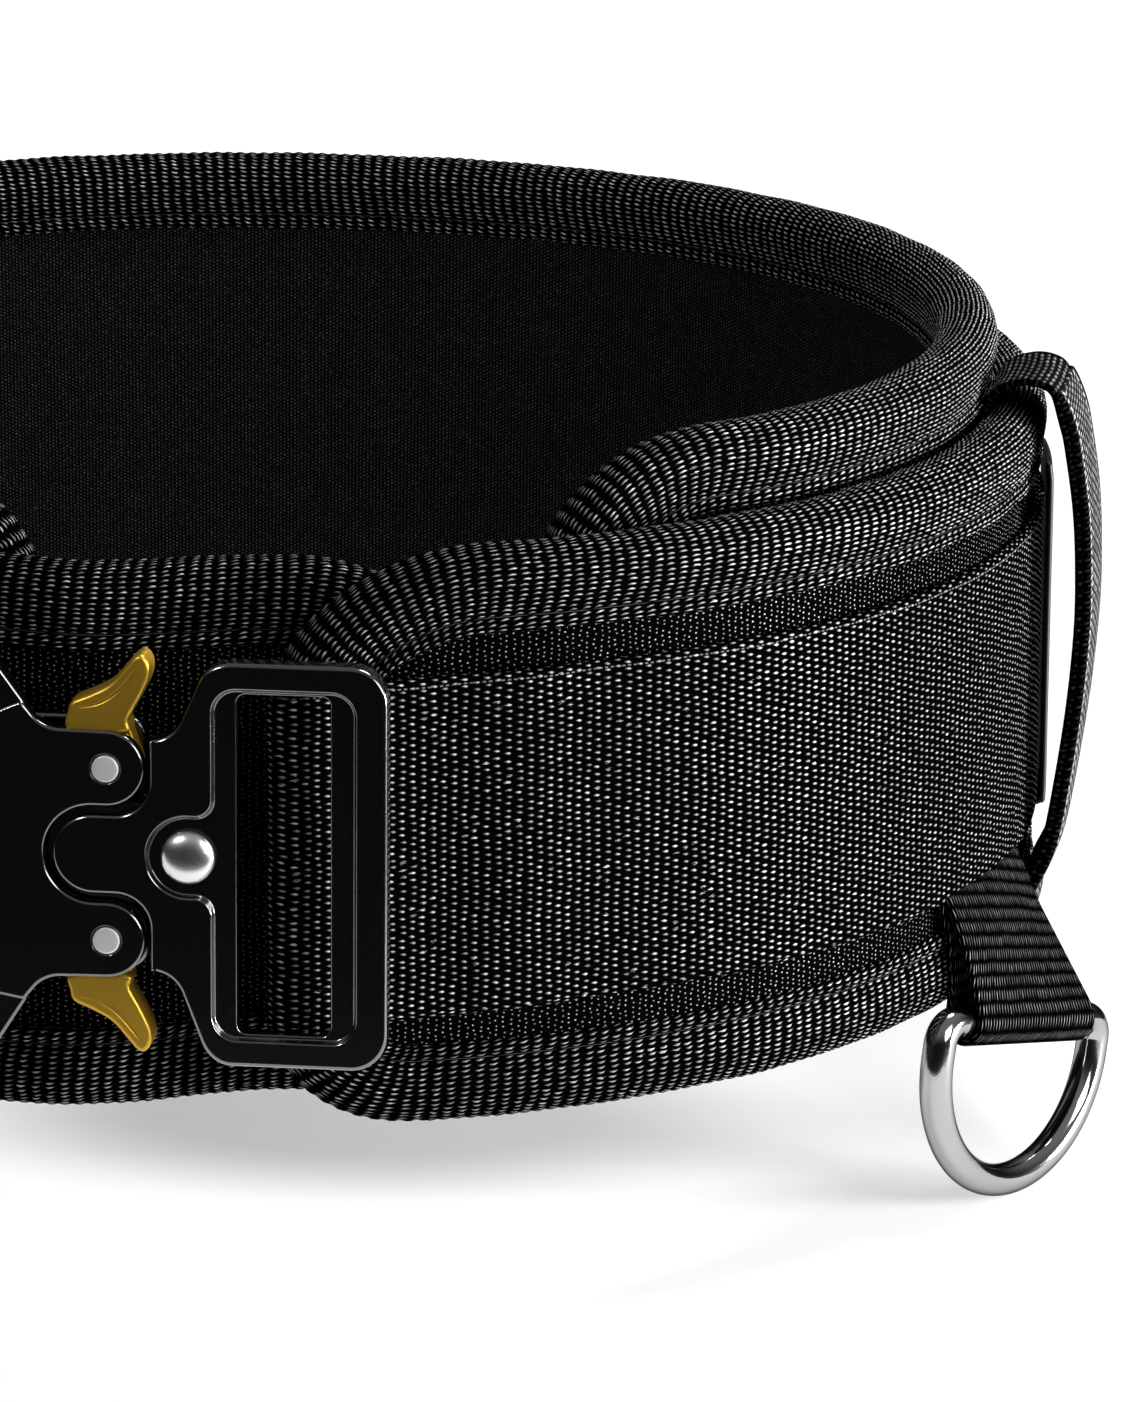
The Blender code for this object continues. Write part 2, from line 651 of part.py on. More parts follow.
def build_lever(name, sign, finish):
    """Make one release lever: a hook and hub between the plates, and a horn outside them."""
    # Outlines in x and z: the horn round its tip, and the hub from the horn's root to the hook
    horn = [(-0.0042, 0.0229), (-0.0045, 0.0249), (-0.0037, 0.0265), (-0.0008, 0.0276), (0.0026, 0.0295),
            (0.0053, 0.0325), (0.0069, 0.0343), (0.0081, 0.0346), (0.0093, 0.0330), (0.0092, 0.0305),
            (0.0057, 0.0235), (0.0053, 0.0226)]
    hub = [(-0.0038, 0.0240), (-0.0044, 0.0160), (-0.0065, 0.0135), (-0.0065, 0.0096), (-0.0015, 0.0100)]
    hub += arc(PIN_X, PIN_Z, 0.0056, -110.0, 20.0, 7)
    hub += [(0.0046, 0.0240)]
    hole = circle(PIN_X, PIN_Z, PIN_HOLE)
    horn, hub, hole = ([(x, sign * z) for x, z in outline] for outline in (horn, hub, hole))
    hub_back = HOUSING_DEPTH - HOUSING_PLATE - GAP
    lever = plate(name, [hub, hole], HUB_FRONT, hub_back, finish, LATCH_RISE)
    combine(lever, plate(name + "_horn", [horn], HORN_FRONT, HORN_BACK, rise=LATCH_RISE), "UNION")
    chamfer(lever, 0.0004)
    return lever


def build_rivet(finish):
    """Turn the domed rivet that joins the frame and the tongue."""
    seat = RECESS_DEPTH - GAP
    head = [(0.0, seat - 0.0024)]
    for a in np.radians((30.0, 55.0, 75.0, 90.0)):
        head.append((RIVET_RADIUS * math.sin(a), seat - 0.0004 - 0.0020 * math.cos(a)))
    back = TONGUE_BACK + GAP
    profile = head + [(RIVET_RADIUS, seat), (RIVET_SHANK, seat), (RIVET_SHANK, back),
                      (0.0036, back), (0.0036, back + 0.0008), (0.0, back + 0.0008)]
    mesh = bpy.data.meshes.new("frame_rivet")
    points = [(r, 0.0, -depth) for r, depth in profile]
    mesh.from_pydata(points, [(i, i + 1) for i in range(len(points) - 1)], [])
    piece = add_object("frame_rivet", mesh, finish)
    turn = piece.modifiers.new("turn", "SCREW")
    turn.angle = 2 * math.pi
    turn.steps = 12
    turn.render_steps = 12
    turn.use_merge_vertices = True
    turn.merge_threshold = 0.00001
    piece.rotation_euler = (math.pi / 2, 0.0, 0.0)
    piece.location = (RIVET_X, BUCKLE_FACE, LATCH_RISE)
    return piece


def build_bar(name, side, finish):
    """Make the bar that the wide strap turns round."""
    bpy.ops.mesh.primitive_cylinder_add(
        vertices=12, radius=BAR_RADIUS, depth=2 * (SLOT_HALF + BAR_IN_EAR),
        location=(side * BAR_X, BUCKLE_FACE + BAR_DEPTH, 0.0))
    bar = bpy.context.object
    bar.name = name
    bpy.context.collection.objects.unlink(bar)
    bpy.data.collections[COLLECTION].objects.link(bar)
    bar.data.materials.append(material(name, *finish))
    return bar


# Side pieces

def side_loft(name, profile, centre, width, finish, steps=2):
    """Carry a closed profile of offset and height along the belt and mirror it to the other side."""
    profile = np.array(profile)
    sections = []
    for s in np.linspace(centre - width / 2, centre + width / 2, steps + 1):
        flat = on_loop(s, profile[:, 0])
        sections.append(np.concatenate((flat, profile[:, 1:]), axis=1))
    mesh = loft(name + "_right", sections, closed=False)
    other = mirrored(mesh, name + "_left")
    return add_object(name + "_right", mesh, finish), add_object(name + "_left", other, finish)


def build_keepers(finish):
    """Make the smooth C-shaped keepers over the wide strap."""
    over_roll = OUTER_OFFSET + ROLL_RADIUS + GAP
    over_core = OUTER_OFFSET + CORE_HALF + GAP
    over_strap = over_core + STRAP_THICK + GAP
    face = over_strap + KEEPER_WALL
    step = STRAP_HALF + 0.0008
    # Rows of offset and height, down the outer face from the top and up the inner one
    profile = [
        (over_roll, KEEPER_TOP), (over_roll + 0.0010, KEEPER_TOP), (face - 0.0002, KEEPER_TOP - 0.0020),
        (face, KEEPER_TOP - 0.0050), (face, KEEPER_BOTTOM + 0.0030), (face - 0.0006, KEEPER_BOTTOM + 0.0012),
        (over_roll, KEEPER_BOTTOM), (over_core, KEEPER_BOTTOM), (over_core, -step), (over_strap, -step),
        (over_strap, step), (over_roll, step + 0.0015),
    ]
    return side_loft("keeper", profile, SIDE_S + KEEPER_SHIFT, KEEPER_WIDTH, finish)


def side_strap_line():
    """Return the outer face of the side strap as offset and height, from its inner end down."""
    return np.array([
        (0.0054, 0.0502), (0.0058, 0.0530), (0.0085, 0.0560), (0.0132, 0.0574), (0.0172, 0.0568),
        (0.0203, 0.0546), (0.0228, 0.0490), (0.0241, 0.0430), (0.0256, 0.0330), (0.0263, 0.0220),
        (0.0263, 0.0096), (0.0249, -0.0074), (0.0220, -0.0275), (0.0201, -0.0345), (0.0176, -0.0400),
        (0.0171, -0.0440),
    ])


def build_side_straps(finish):
    """Make the strap loops that arch over the outer pad: one layer on top, two down the side."""
    line = side_strap_line()
    run = np.gradient(line, axis=0)
    run /= np.linalg.norm(run, axis=1)[:, None]
    normal = np.stack((run[:, 1], -run[:, 0]), axis=1)
    thick = np.full(len(line), SIDE_STRAP_LAYER)
    thick[5:-3] = 2 * SIDE_STRAP_LAYER
    back = line + normal * thick[:, None]
    profile = np.concatenate((line, back[::-1]))
    return side_loft("side_strap", profile, SIDE_S + SIDE_STRAP_SHIFT, SIDE_STRAP_WIDTH, finish)


def ring_axes():
    """Return the bar's direction and the direction in which the D-ring hangs from it."""
    level = math.cos(RING_TILT)
    bar = Vector((math.sin(RING_TURN) * level, math.cos(RING_TURN) * level, -math.sin(RING_TILT)))
    down = Vector((0.0, 0.0, -1.0))
    hang = (down - bar * bar.dot(down)).normalized()
    return bar, hang


def build_rings(finish):
    """Make the two D-rings as closed wires."""
    bar, hang = ring_axes()
    inner = RING_HALF - RING_CORNER
    flat = [(-inner, 0.0), (0.0, 0.0)]
    flat += arc(inner, -RING_CORNER, RING_CORNER, 90.0, 0.0, 3)
    rise = RING_DROP - RING_SHOULDER
    for a in np.radians(np.linspace(0.0, -180.0, 15)):
        flat.append((RING_HALF * math.cos(a), -RING_SHOULDER + rise * math.sin(a)))
    flat += arc(-inner, -RING_CORNER, RING_CORNER, 180.0, 90.0, 3)[:-1]
    rings = []
    for side, name in ((1.0, "d_ring_right"), (-1.0, "d_ring_left")):
        curve = bpy.data.curves.new(name, "CURVE")
        curve.dimensions = "3D"
        curve.bevel_depth = RING_WIRE
        curve.bevel_resolution = 2
        curve.render_resolution_u = 0
        spline = curve.splines.new("POLY")
        spline.points.add(len(flat) - 1)
        for point, (along, drop) in zip(spline.points, flat):
            place = bar * along - hang * drop
            point.co = (side * place.x, place.y, place.z, 1.0)
        spline.use_cyclic_u = True
        ring = bpy.data.objects.new(name, curve)
        ring.location = (side * RING_CENTRE[0], RING_CENTRE[1], RING_CENTRE[2])
        curve.materials.append(material(name, *finish))
        bpy.data.collections[COLLECTION].objects.link(ring)
        rings.append(ring)
    return rings


def build_tabs(finish):
    """Make the strap tabs, folded round each D-ring's bar, as a ruled band with a wall."""
    bar, hang = ring_axes()
    centre = Vector(RING_CENTRE)
    turn = RING_WIRE + GAP + TAB_LAYER / 2
    out = bar.cross(hang)
    if out.x < 0.0:
        out = -out
    under = -STRAP_HALF - GAP
    rear = OUTER_OFFSET + CORE_HALF + GAP + TAB_LAYER / 2
    front = rear + TAB_LAYER + GAP
    clear = OUTER_OFFSET + ROLL_RADIUS + GAP + TAB_LAYER / 2
    columns = []
    for share in np.linspace(0.0, 1.0, TAB_COLUMNS):
        s = SIDE_S + TAB_FROM + (TAB_TO - TAB_FROM) * share
        hub = centre + bar * (TAB_WIDTH * (share - 0.5))
        wrap = np.radians(np.linspace(182.0 + 28.0 * share, 384.0 + 12.0 * share, 7))
        places = [(rear, under), (clear, -0.0365), (clear, -0.0450)]
        column = [Vector((*on_loop(s, offset), z)) for offset, z in places]
        column += [hub + out * (turn * math.cos(a)) - hang * (turn * math.sin(a)) for a in wrap]
        places = [(clear + 0.0035, -0.0400), (front + 0.0012, -0.0335), (front, under)]
        column += [Vector((*on_loop(s, offset), z)) for offset, z in places]
        columns.append(column)
    count = len(columns[0])
    points = [point for column in columns for point in column]
    faces = []
    for row in range(TAB_COLUMNS - 1):
        start = row * count
        faces += [(start + i, start + i + 1, start + count + i + 1, start + count + i)
                  for i in range(count - 1)]
    mesh = bpy.data.meshes.new("ring_tab_right")
    mesh.from_pydata(points, [], faces)
    other = mirrored(mesh, "ring_tab_left")
    pieces = [add_object("ring_tab_right", mesh, finish), add_object("ring_tab_left", other, finish)]
    for piece in pieces:
        wall_thickness = piece.modifiers.new("thickness", "SOLIDIFY")
        wall_thickness.thickness = TAB_LAYER
        wall_thickness.offset = 0.0
        wall_thickness.use_even_offset = True
    return pieces


def shade(piece):
    """Shade a piece smooth, keeping its sharp edges."""
    if piece.type == "MESH":
        piece.data.shade_smooth()
        piece.data.set_sharp_from_angle(angle=math.radians(35.0))


def main():
    """Clear the scene and build the belt."""
    for item in list(bpy.data.objects):
        bpy.data.objects.remove(item)
    for name in (COLLECTION, CUTTERS):
        group = bpy.data.collections.new(name)
        bpy.context.scene.collection.children.link(group)

    webbing = ((0.030, 0.030, 0.031), 0.72)
    lining = ((0.016, 0.016, 0.017), 0.85)
    black_metal = ((0.020, 0.020, 0.022), 0.35, 0.6)
    steel = ((0.75, 0.75, 0.76), 0.22, 1.0)
    gold = ((0.42, 0.25, 0.035), 0.32, 0.9)
    smooth_black = ((0.022, 0.022, 0.023), 0.30)

    inner = Pad(INNER_RIGHT_END, LOOP_LENGTH + INNER_LEFT_END)
    outer = OuterPad(OUTER_RIGHT_END, LOOP_LENGTH + OUTER_FLAP_END)
    build_core(inner, "inner_pad", lining)
    build_binding(inner, "inner_binding", webbing)
    build_core(outer, "outer_pad", lining)
    build_binding(outer, "outer_binding", webbing)
    build_wide_strap(webbing)

    build_tongue_frame(black_metal)
    build_housing(black_metal)
    build_lever("lever_upper", 1.0, gold)
    build_lever("lever_lower", -1.0, gold)
    rod("lever_pin_upper", PIN_X, PIN_Z, PIN_RADIUS, -0.0003, HOUSING_DEPTH + GAP, steel)
    rod("lever_pin_lower", PIN_X, -PIN_Z, PIN_RADIUS, -0.0003, HOUSING_DEPTH + GAP, steel)
    build_rivet(steel)
    build_bar("strap_bar_right", 1.0, black_metal)
    build_bar("strap_bar_left", -1.0, black_metal)

    build_keepers(smooth_black)
    build_side_straps(webbing)
    build_tabs(webbing)
    build_rings(steel)
    for piece in bpy.data.collections[COLLECTION].objects:
        shade(piece)


main()
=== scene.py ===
"""Looks of the dip belt: padded layers, bound edges, webbing, buckle, side straps and D-rings.

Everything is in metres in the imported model's frame: +Z up, the buckle faces -Y, and the
origin is the middle of the waist opening. Places along the belt are arc lengths on the inner
pad's middle surface, from the front centre towards +X, with an offset outwards from it.
"""
from __future__ import annotations

import json
import logging
import math
from dataclasses import dataclass, field, replace
from enum import Enum
from functools import cache, cached_property
from typing import Sequence

import bmesh
import bpy
import numpy as np
from bpy.types import ID, Material, NodeSocket, Object, World
from mathutils import Euler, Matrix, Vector

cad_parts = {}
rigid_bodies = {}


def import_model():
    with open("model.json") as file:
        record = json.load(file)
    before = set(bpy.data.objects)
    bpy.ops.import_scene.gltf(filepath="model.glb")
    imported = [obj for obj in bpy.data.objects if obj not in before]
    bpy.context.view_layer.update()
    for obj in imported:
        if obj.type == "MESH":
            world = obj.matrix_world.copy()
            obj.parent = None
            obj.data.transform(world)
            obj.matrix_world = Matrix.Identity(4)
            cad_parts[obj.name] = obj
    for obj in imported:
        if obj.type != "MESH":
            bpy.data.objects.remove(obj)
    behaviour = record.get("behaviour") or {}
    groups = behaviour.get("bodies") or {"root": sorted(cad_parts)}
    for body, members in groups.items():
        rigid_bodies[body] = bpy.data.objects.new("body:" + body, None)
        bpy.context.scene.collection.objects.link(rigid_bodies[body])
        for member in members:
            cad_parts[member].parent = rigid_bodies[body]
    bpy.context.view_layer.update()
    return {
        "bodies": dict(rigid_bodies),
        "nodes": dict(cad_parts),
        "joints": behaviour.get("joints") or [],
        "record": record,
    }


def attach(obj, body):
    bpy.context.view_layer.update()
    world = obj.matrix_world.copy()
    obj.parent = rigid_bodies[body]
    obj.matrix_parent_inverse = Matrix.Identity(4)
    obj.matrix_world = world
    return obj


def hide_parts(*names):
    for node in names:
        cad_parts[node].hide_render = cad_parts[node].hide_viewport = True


LOG = logging.getLogger("dip_belt")

# The photograph's size in pixels.
PHOTO_WIDTH = 1122
PHOTO_HEIGHT = 1402

# Sizes that several pieces share: the clearance between them, the outer pad's offset, half a
# pad core's thickness, half the webbing's width and the distance of the strap's bars from the
# buckle's middle.
GAP = 0.0003
OUTER_OFFSET = 0.0095
CORE_HALF = 0.0036
STRAP_HALF = 0.0290
BAR_X = 0.0323

# Segments of the half circle at a ribbon's edge and of the quarter circle at its end, and the
# share of the thickness that is left at the very end.
RIBBON_EDGE_STEPS = 5
RIBBON_END_STEPS = 3
RIBBON_END_SHARE = 0.06

# Flat rim between a wall's rounding and the face that fills it, and the angles in degrees
# above which an edge of a plate, a turned solid and a capped surface stays sharp.
RIM = 0.00008
PLATE_SHARP = 50.0
TURNED_SHARP = 40.0
CAPPED_SHARP = 60.0


class Choice(Enum):
    """A direction by its sign, whose name goes into the names of pieces."""

    @property
    def word(self) -> str:
        """The choice's word in piece names."""
        return self.name.lower()


class Side(Choice):
    """The belt's two sides, seen from the front, by the sign of x."""

    RIGHT = 1.0
    LEFT = -1.0


class Level(Choice):
    """The buckle's upper and lower halves, by the sign of z."""

    UPPER = 1.0
    LOWER = -1.0


def smooth(value: np.ndarray) -> np.ndarray:
    """Return 0 below 0, 1 above 1 and the curve 3t^2 - 2t^3 between.

    Args:
        value: Array of numbers.

    Returns:
        Array of the same shape.
    """
    t = np.clip(value, 0.0, 1.0)
    return t * t * (3.0 - 2.0 * t)


def ripple(s: np.ndarray, z: np.ndarray, length: float, seed: float = 0.0) -> np.ndarray:
    """Return a gentle unevenness between about -1 and 1: a mean of three slanted sine waves.

    Args:
        s: Place along the cloth in metres.
        z: Place across the cloth in metres.
        length: Longest wave length in metres.
        seed: Phase that makes one piece differ from another.

    Returns:
        Array of the shape of s and z together.
    """
    k = 2.0 * math.pi / length
    first = np.sin(k * (s + 0.31 * z) + seed)
    second = np.sin(1.7 * k * (s - 0.53 * z) + 2.1 + 1.3 * seed)
    third = np.sin(2.9 * k * (s + 0.17 * z) + 4.2 + 0.7 * seed)
    return (first + second + third) / 3.0


@dataclass(frozen=True)
class Loop:
    """The belt's plan: a superellipse whose front and back halves have unlike depths."""

    half_width: float = 0.1355
    front_depth: float = 0.1377
    back_depth: float = 0.1455
    power: float = 0.955
    samples: int = 5760

    @cached_property
    def table(self) -> tuple[np.ndarray, np.ndarray, np.ndarray]:
        """Trace the loop from the front centre towards +X.

        Returns:
            x, y and arc length of its points.
        """
        turn = np.linspace(0.0, 2.0 * math.pi, self.samples + 1)
        sine, cosine = np.sin(turn), np.cos(turn)
        depth = np.where(cosine > 0.0, self.front_depth, self.back_depth)
        x = self.half_width * np.sign(sine) * np.abs(sine) ** self.power
        y = -depth * np.sign(cosine) * np.abs(cosine) ** self.power
        return x, y, np.concatenate(([0.0], np.cumsum(np.hypot(np.diff(x), np.diff(y)))))

    @property
    def length(self) -> float:
        """Length of the loop."""
        return float(self.table[2][-1])

    @property
    def side(self) -> float:
        """Arc length of the belt's side at +X."""
        return float(self.table[2][self.samples // 4])

    def place(self, s: np.ndarray, offset: np.ndarray) -> np.ndarray:
        """Return points at arc lengths s, moved out along the superellipse's normal.

        Args:
            s: Arc lengths.
            offset: Distances outwards from the loop.

        Returns:
            Array with x and y in its last axis.
        """
        s, offset = np.broadcast_arrays(np.mod(np.asarray(s, float), self.length), offset)
        x_table, y_table, s_table = self.table
        x = np.interp(s, s_table, x_table)
        y = np.interp(s, s_table, y_table)
        depth = np.where(y < 0.0, self.front_depth, self.back_depth)
        power = 2.0 / self.power - 1.0
        nx = np.sign(x) * np.abs(x / self.half_width) ** power / self.half_width
        ny = np.sign(y) * np.abs(y / depth) ** power / depth
        size = np.hypot(nx, ny)
        return np.stack((x + offset * nx / size, y + offset * ny / size), axis=-1)


LOOP = Loop()


# Meshes from arrays

def unit(vectors: np.ndarray) -> np.ndarray:
    """Return vectors divided by their lengths, with the coordinates in the last axis."""
    return vectors / np.linalg.norm(vectors, axis=-1, keepdims=True)


def uv_grid(u: np.ndarray, v: np.ndarray) -> np.ndarray:
    """Return the weave map of a grid whose rows lie at u and whose columns lie at v."""
    return np.stack(np.meshgrid(u, v, indexing="ij"), axis=-1)


def linked(name: str, data: ID) -> Object:
    """Make an object and link it to the scene.

    Args:
        name: The object's name.
        data: Its mesh, camera or light.

    Returns:
        The new object.
    """
    made = bpy.data.objects.new(name, data)
    bpy.context.scene.collection.objects.link(made)
    return made


def signed_volume(points: np.ndarray, quads: np.ndarray) -> float:
    """Return the volume inside a closed quad mesh, below zero where its faces point in.

    Args:
        points: Corner places, one a row.
        quads: Corner numbers, four a row.

    Returns:
        Sum of the tetrahedra between the origin and each half quad.
    """
    a, b, c, d = (points[quads[:, i]] for i in range(4))
    halves = np.einsum("ij,ij->i", a, np.cross(b, c)) + np.einsum("ij,ij->i", a, np.cross(c, d))
    return float(halves.sum()) / 6.0


def grid_quads(rows: int, columns: int, loop_rows: bool, loop_columns: bool) -> np.ndarray:
    """Return the quads of a grid, as pairs of row and column for each corner.

    Args:
        rows: Number of rows of points.
        columns: Number of points in a row.
        loop_rows: Whether the last row joins the first.
        loop_columns: Whether a row's last point joins its first.

    Returns:
        Array of shape quads, 4, 2 of unwrapped row and column numbers.
    """
    r = np.arange(rows if loop_rows else rows - 1)
    c = np.arange(columns if loop_columns else columns - 1)
    r, c = (part.ravel() for part in np.meshgrid(r, c, indexing="ij"))
    corners = ((r, c), (r, c + 1), (r + 1, c + 1), (r + 1, c))
    return np.stack([np.stack(corner, axis=-1) for corner in corners], axis=1)


def surface(
    name: str,
    points: np.ndarray,
    uv: np.ndarray,
    loop_rows: bool = False,
    loop_columns: bool = False,
    cap_ends: bool = False,
) -> Object:
    """Make an object from a grid of points, with a UV map in metres that weaves read.

    Args:
        name: The object's name.
        points: Array of rows, columns, 3.
        uv: Array of rows, columns, 2, one row or column more where the grid is a loop.
        loop_rows: Whether the last row joins the first.
        loop_columns: Whether a row's last point joins its first.
        cap_ends: Whether the first and last rows are closed with a flat face.

    Returns:
        The new object, smooth shaded.
    """
    rows, columns = points.shape[:2]
    corners = grid_quads(rows, columns, loop_rows, loop_columns)
    quads = (corners[..., 0] % rows) * columns + corners[..., 1] % columns
    flat = points.reshape(-1, 3)
    closed = loop_columns and (loop_rows or cap_ends)
    if closed and signed_volume(flat, quads) < 0.0:
        quads, corners = quads[:, ::-1], corners[:, ::-1]
    faces = quads.tolist()
    marks = uv[corners[..., 0], corners[..., 1]].reshape(-1, 2)
    if cap_ends:
        first, last = list(range(columns)), list(range((rows - 1) * columns, rows * columns))
        faces += [first, last]
        marks = np.concatenate((marks, uv[0, :columns], uv[rows - 1, :columns]))
    mesh = bpy.data.meshes.new(name)
    mesh.from_pydata(flat.tolist(), [], faces)
    layer = mesh.uv_layers.new(name="weave")
    layer.data.foreach_set("uv", marks.astype(np.float32).ravel())
    piece = linked(name, mesh)
    if cap_ends:
        point_outwards(piece)
    mesh.shade_smooth()
    if cap_ends:
        mesh.set_sharp_from_angle(angle=math.radians(CAPPED_SHARP))
    return piece


def point_outwards(piece: Object) -> None:
    """Turn a closed mesh's faces outwards.

    Args:
        piece: The object whose mesh is turned.
    """
    work = bmesh.new()
    work.from_mesh(piece.data)
    bmesh.ops.recalc_face_normals(work, faces=work.faces)
    work.to_mesh(piece.data)
    work.free()


def arc_lengths(points: np.ndarray, axis: int = 0, closed: bool = False) -> np.ndarray:
    """Return the running length along one axis of an array of points.

    Args:
        points: Array whose last axis holds coordinates.
        axis: The axis that is walked along.
        closed: Whether the step back to the first point is added at the end.

    Returns:
        Array without the coordinate axis, one longer along axis if closed.
    """
    points = np.moveaxis(points, axis, 0)
    if closed:
        points = np.concatenate((points, points[:1]))
    steps = np.linalg.norm(np.diff(points, axis=0), axis=-1)
    total = np.concatenate((np.zeros((1,) + steps.shape[1:]), np.cumsum(steps, axis=0)))
    return np.moveaxis(total, 0, axis)


def resampled(values: np.ndarray, length: np.ndarray, at: np.ndarray) -> np.ndarray:
    """Return rows of values at running lengths, with straight lines between the known ones.

    Args:
        values: Rows of numbers.
        length: The running length of each row.
        at: The wanted running lengths.

    Returns:
        Array with a row for each wanted length.
    """
    return np.stack([np.interp(at, length, column) for column in values.T], axis=-1)


def through(knots: Sequence[Sequence[float]], steps: int, closed: bool = False) -> np.ndarray:
    """Return points on the Catmull-Rom curve through knots.

    Args:
        knots: Points that the curve passes through.
        steps: Points for each stretch between two knots.
        closed: Whether the curve returns to its first knot.

    Returns:
        Array of points; an open curve ends on its last knot.
    """
    k = np.asarray(knots, float)
    if closed:
        k = np.concatenate((k[-1:], k, k[:2]))
    else:
        k = np.concatenate((2 * k[:1] - k[1:2], k, 2 * k[-1:] - k[-2:-1]))
    t = np.arange(steps)[None, :, None] / steps
    a, b, c, d = (k[i:len(k) - 3 + i, None, :] for i in range(4))
    square, cube = 2 * a - 5 * b + 4 * c - d, 3 * b - a - 3 * c + d
    curve = 0.5 * (2 * b + (c - a) * t + square * t**2 + cube * t**3)
    curve = curve.reshape(-1, k.shape[1])
    return curve if closed else np.concatenate((curve, k[-2:-1]))


def eased(points: np.ndarray, count: int, reach: int) -> np.ndarray:
    """Return a polyline with even steps and soft corners, by a moving mean that keeps its ends.

    Args:
        points: Points of the polyline.
        count: Points of the result.
        reach: Number of points in the mean.

    Returns:
        Array of count points.
    """
    length = arc_lengths(points)
    run = resampled(points, length, np.linspace(0.0, length[-1], count))
    half = reach // 2
    start = 2 * run[:1] - run[half:0:-1]
    end = 2 * run[-1:] - run[-2:-half - 2:-1]
    padded = np.concatenate((start, run, end))
    total = np.cumsum(np.concatenate((np.zeros_like(padded[:1]), padded)), axis=0)
    return (total[2 * half + 1:] - total[:-2 * half - 1]) / (2 * half + 1)


def ribbon(
    name: str, middle: np.ndarray, thickness: np.ndarray | float, zero: float | np.ndarray = 0.0,
) -> Object:
    """Make a strap with round edges and ends from the grid of its middle surface.

    The wall stands half the thickness out along the grid's normal on both sides; an edge is a
    half circle of that radius about the edge's own line, and the ends thin out over a quarter
    circle.

    Args:
        name: The object's name.
        middle: Array of places along, places across, 3.
        thickness: Wall thickness, one number or one for each place along.
        zero: Length along the strap where u is 0, one number or one for each place across.

    Returns:
        The new object, with UV u along the strap and v round its section.
    """
    along, across = np.gradient(middle, axis=0), np.gradient(middle, axis=1)
    normal, outward = unit(np.cross(along, across)), unit(across)
    half = np.broadcast_to(np.asarray(thickness, float) / 2.0, (len(middle),))
    turn = np.linspace(0.0, math.pi / 2, RIBBON_END_STEPS + 1)[1:]
    reach, thin = np.sin(turn), np.cos(turn)
    thin[-1] = RIBBON_END_SHARE
    before = middle[0] - unit(along[0]) * (half[0] * reach)[:, None, None]
    after = middle[-1] + unit(along[-1]) * (half[-1] * reach)[:, None, None]
    middle = np.concatenate((before[::-1], middle, after))
    more = ((RIBBON_END_STEPS, RIBBON_END_STEPS), (0, 0), (0, 0))
    normal, outward = (np.pad(vectors, more, mode="edge") for vectors in (normal, outward))
    half = np.concatenate(((half[0] * thin)[::-1], half, half[-1] * thin))
    h = half[:, None, None]
    turn = np.linspace(math.pi / 2, -math.pi / 2, RIBBON_EDGE_STEPS + 1)[1:-1]

    def bulge(edge: slice, angle: float) -> np.ndarray:
        """Return the way from an edge's line to its half circle at an angle."""
        return h * (normal[:, edge] * math.sin(angle) + outward[:, edge] * math.cos(angle))

    first, last = slice(0, 1), slice(-1, None)
    far = [middle[:, last] + bulge(last, angle) for angle in turn]
    near = [middle[:, first] - bulge(first, angle) for angle in turn]
    front = middle + h * normal
    back = (middle - h * normal)[:, ::-1]
    points = np.concatenate([front, *far, back, *near], axis=1)
    u = arc_lengths(middle, 0) - zero
    far_u, near_u = [u[:, last]] * len(turn), [u[:, first]] * (len(turn) + 1)
    u = np.concatenate((u, *far_u, u[:, ::-1], *near_u), axis=1)
    v = arc_lengths(points, 1, closed=True)
    return surface(name, points, np.stack((u, v), axis=-1), loop_columns=True, cap_ends=True)


# Flat plates with rounded edges

def arc(cx: float, cz: float, radius: float, start: float, end: float, steps: int = 24) -> np.ndarray:
    """Return points on an arc; angles in degrees from +X towards +Z."""
    a = np.radians(np.linspace(start, end, steps + 1))
    return np.stack((cx + radius * np.cos(a), cz + radius * np.sin(a)), axis=-1)


def rounded(corners: Sequence[Sequence[float]], steps: int = 14, closed: bool = True) -> np.ndarray:
    """Return a polygon with round corners.

    Args:
        corners: Rows of x, z and the corner's radius.
        steps: Segments of each corner's arc.
        closed: Whether the first and last corners are joined; they stay sharp if not.

    Returns:
        Array of x and z.
    """
    out = []
    count = len(corners)
    for index, (x, z, radius) in enumerate(corners):
        here = Vector((x, z))
        at_end = not closed and index in (0, count - 1)
        if radius == 0.0 or at_end:
            out.append(np.array([[x, z]]))
            continue
        before = (Vector(corners[index - 1][:2]) - here).normalized()
        after = (Vector(corners[(index + 1) % count][:2]) - here).normalized()
        half = before.angle(after) / 2
        centre = here + (before + after).normalized() * radius / math.sin(half)
        start = here + before * radius / math.tan(half) - centre
        end = here + after * radius / math.tan(half) - centre
        first = math.atan2(start.y, start.x)
        swing = (math.atan2(end.y, end.x) - first + math.pi) % (2 * math.pi) - math.pi
        turn = np.degrees(first + np.array([0.0, swing]))
        out.append(arc(centre.x, centre.y, radius, turn[0], turn[1], steps))
    return np.concatenate(out)


def both_halves(upper: np.ndarray) -> np.ndarray:
    """Close an outline's upper half with its mirror image below."""
    return np.concatenate((upper, (upper * np.array([1.0, -1.0]))[::-1]))


def box_rows(x: Sequence[float], z: Sequence[float], radius: float) -> list[tuple[float, float, float]]:
    """Return a rectangle's corners with their radius, along x first and then along z."""
    return [(x[0], z[0], radius), (x[1], z[0], radius), (x[1], z[1], radius), (x[0], z[1], radius)]


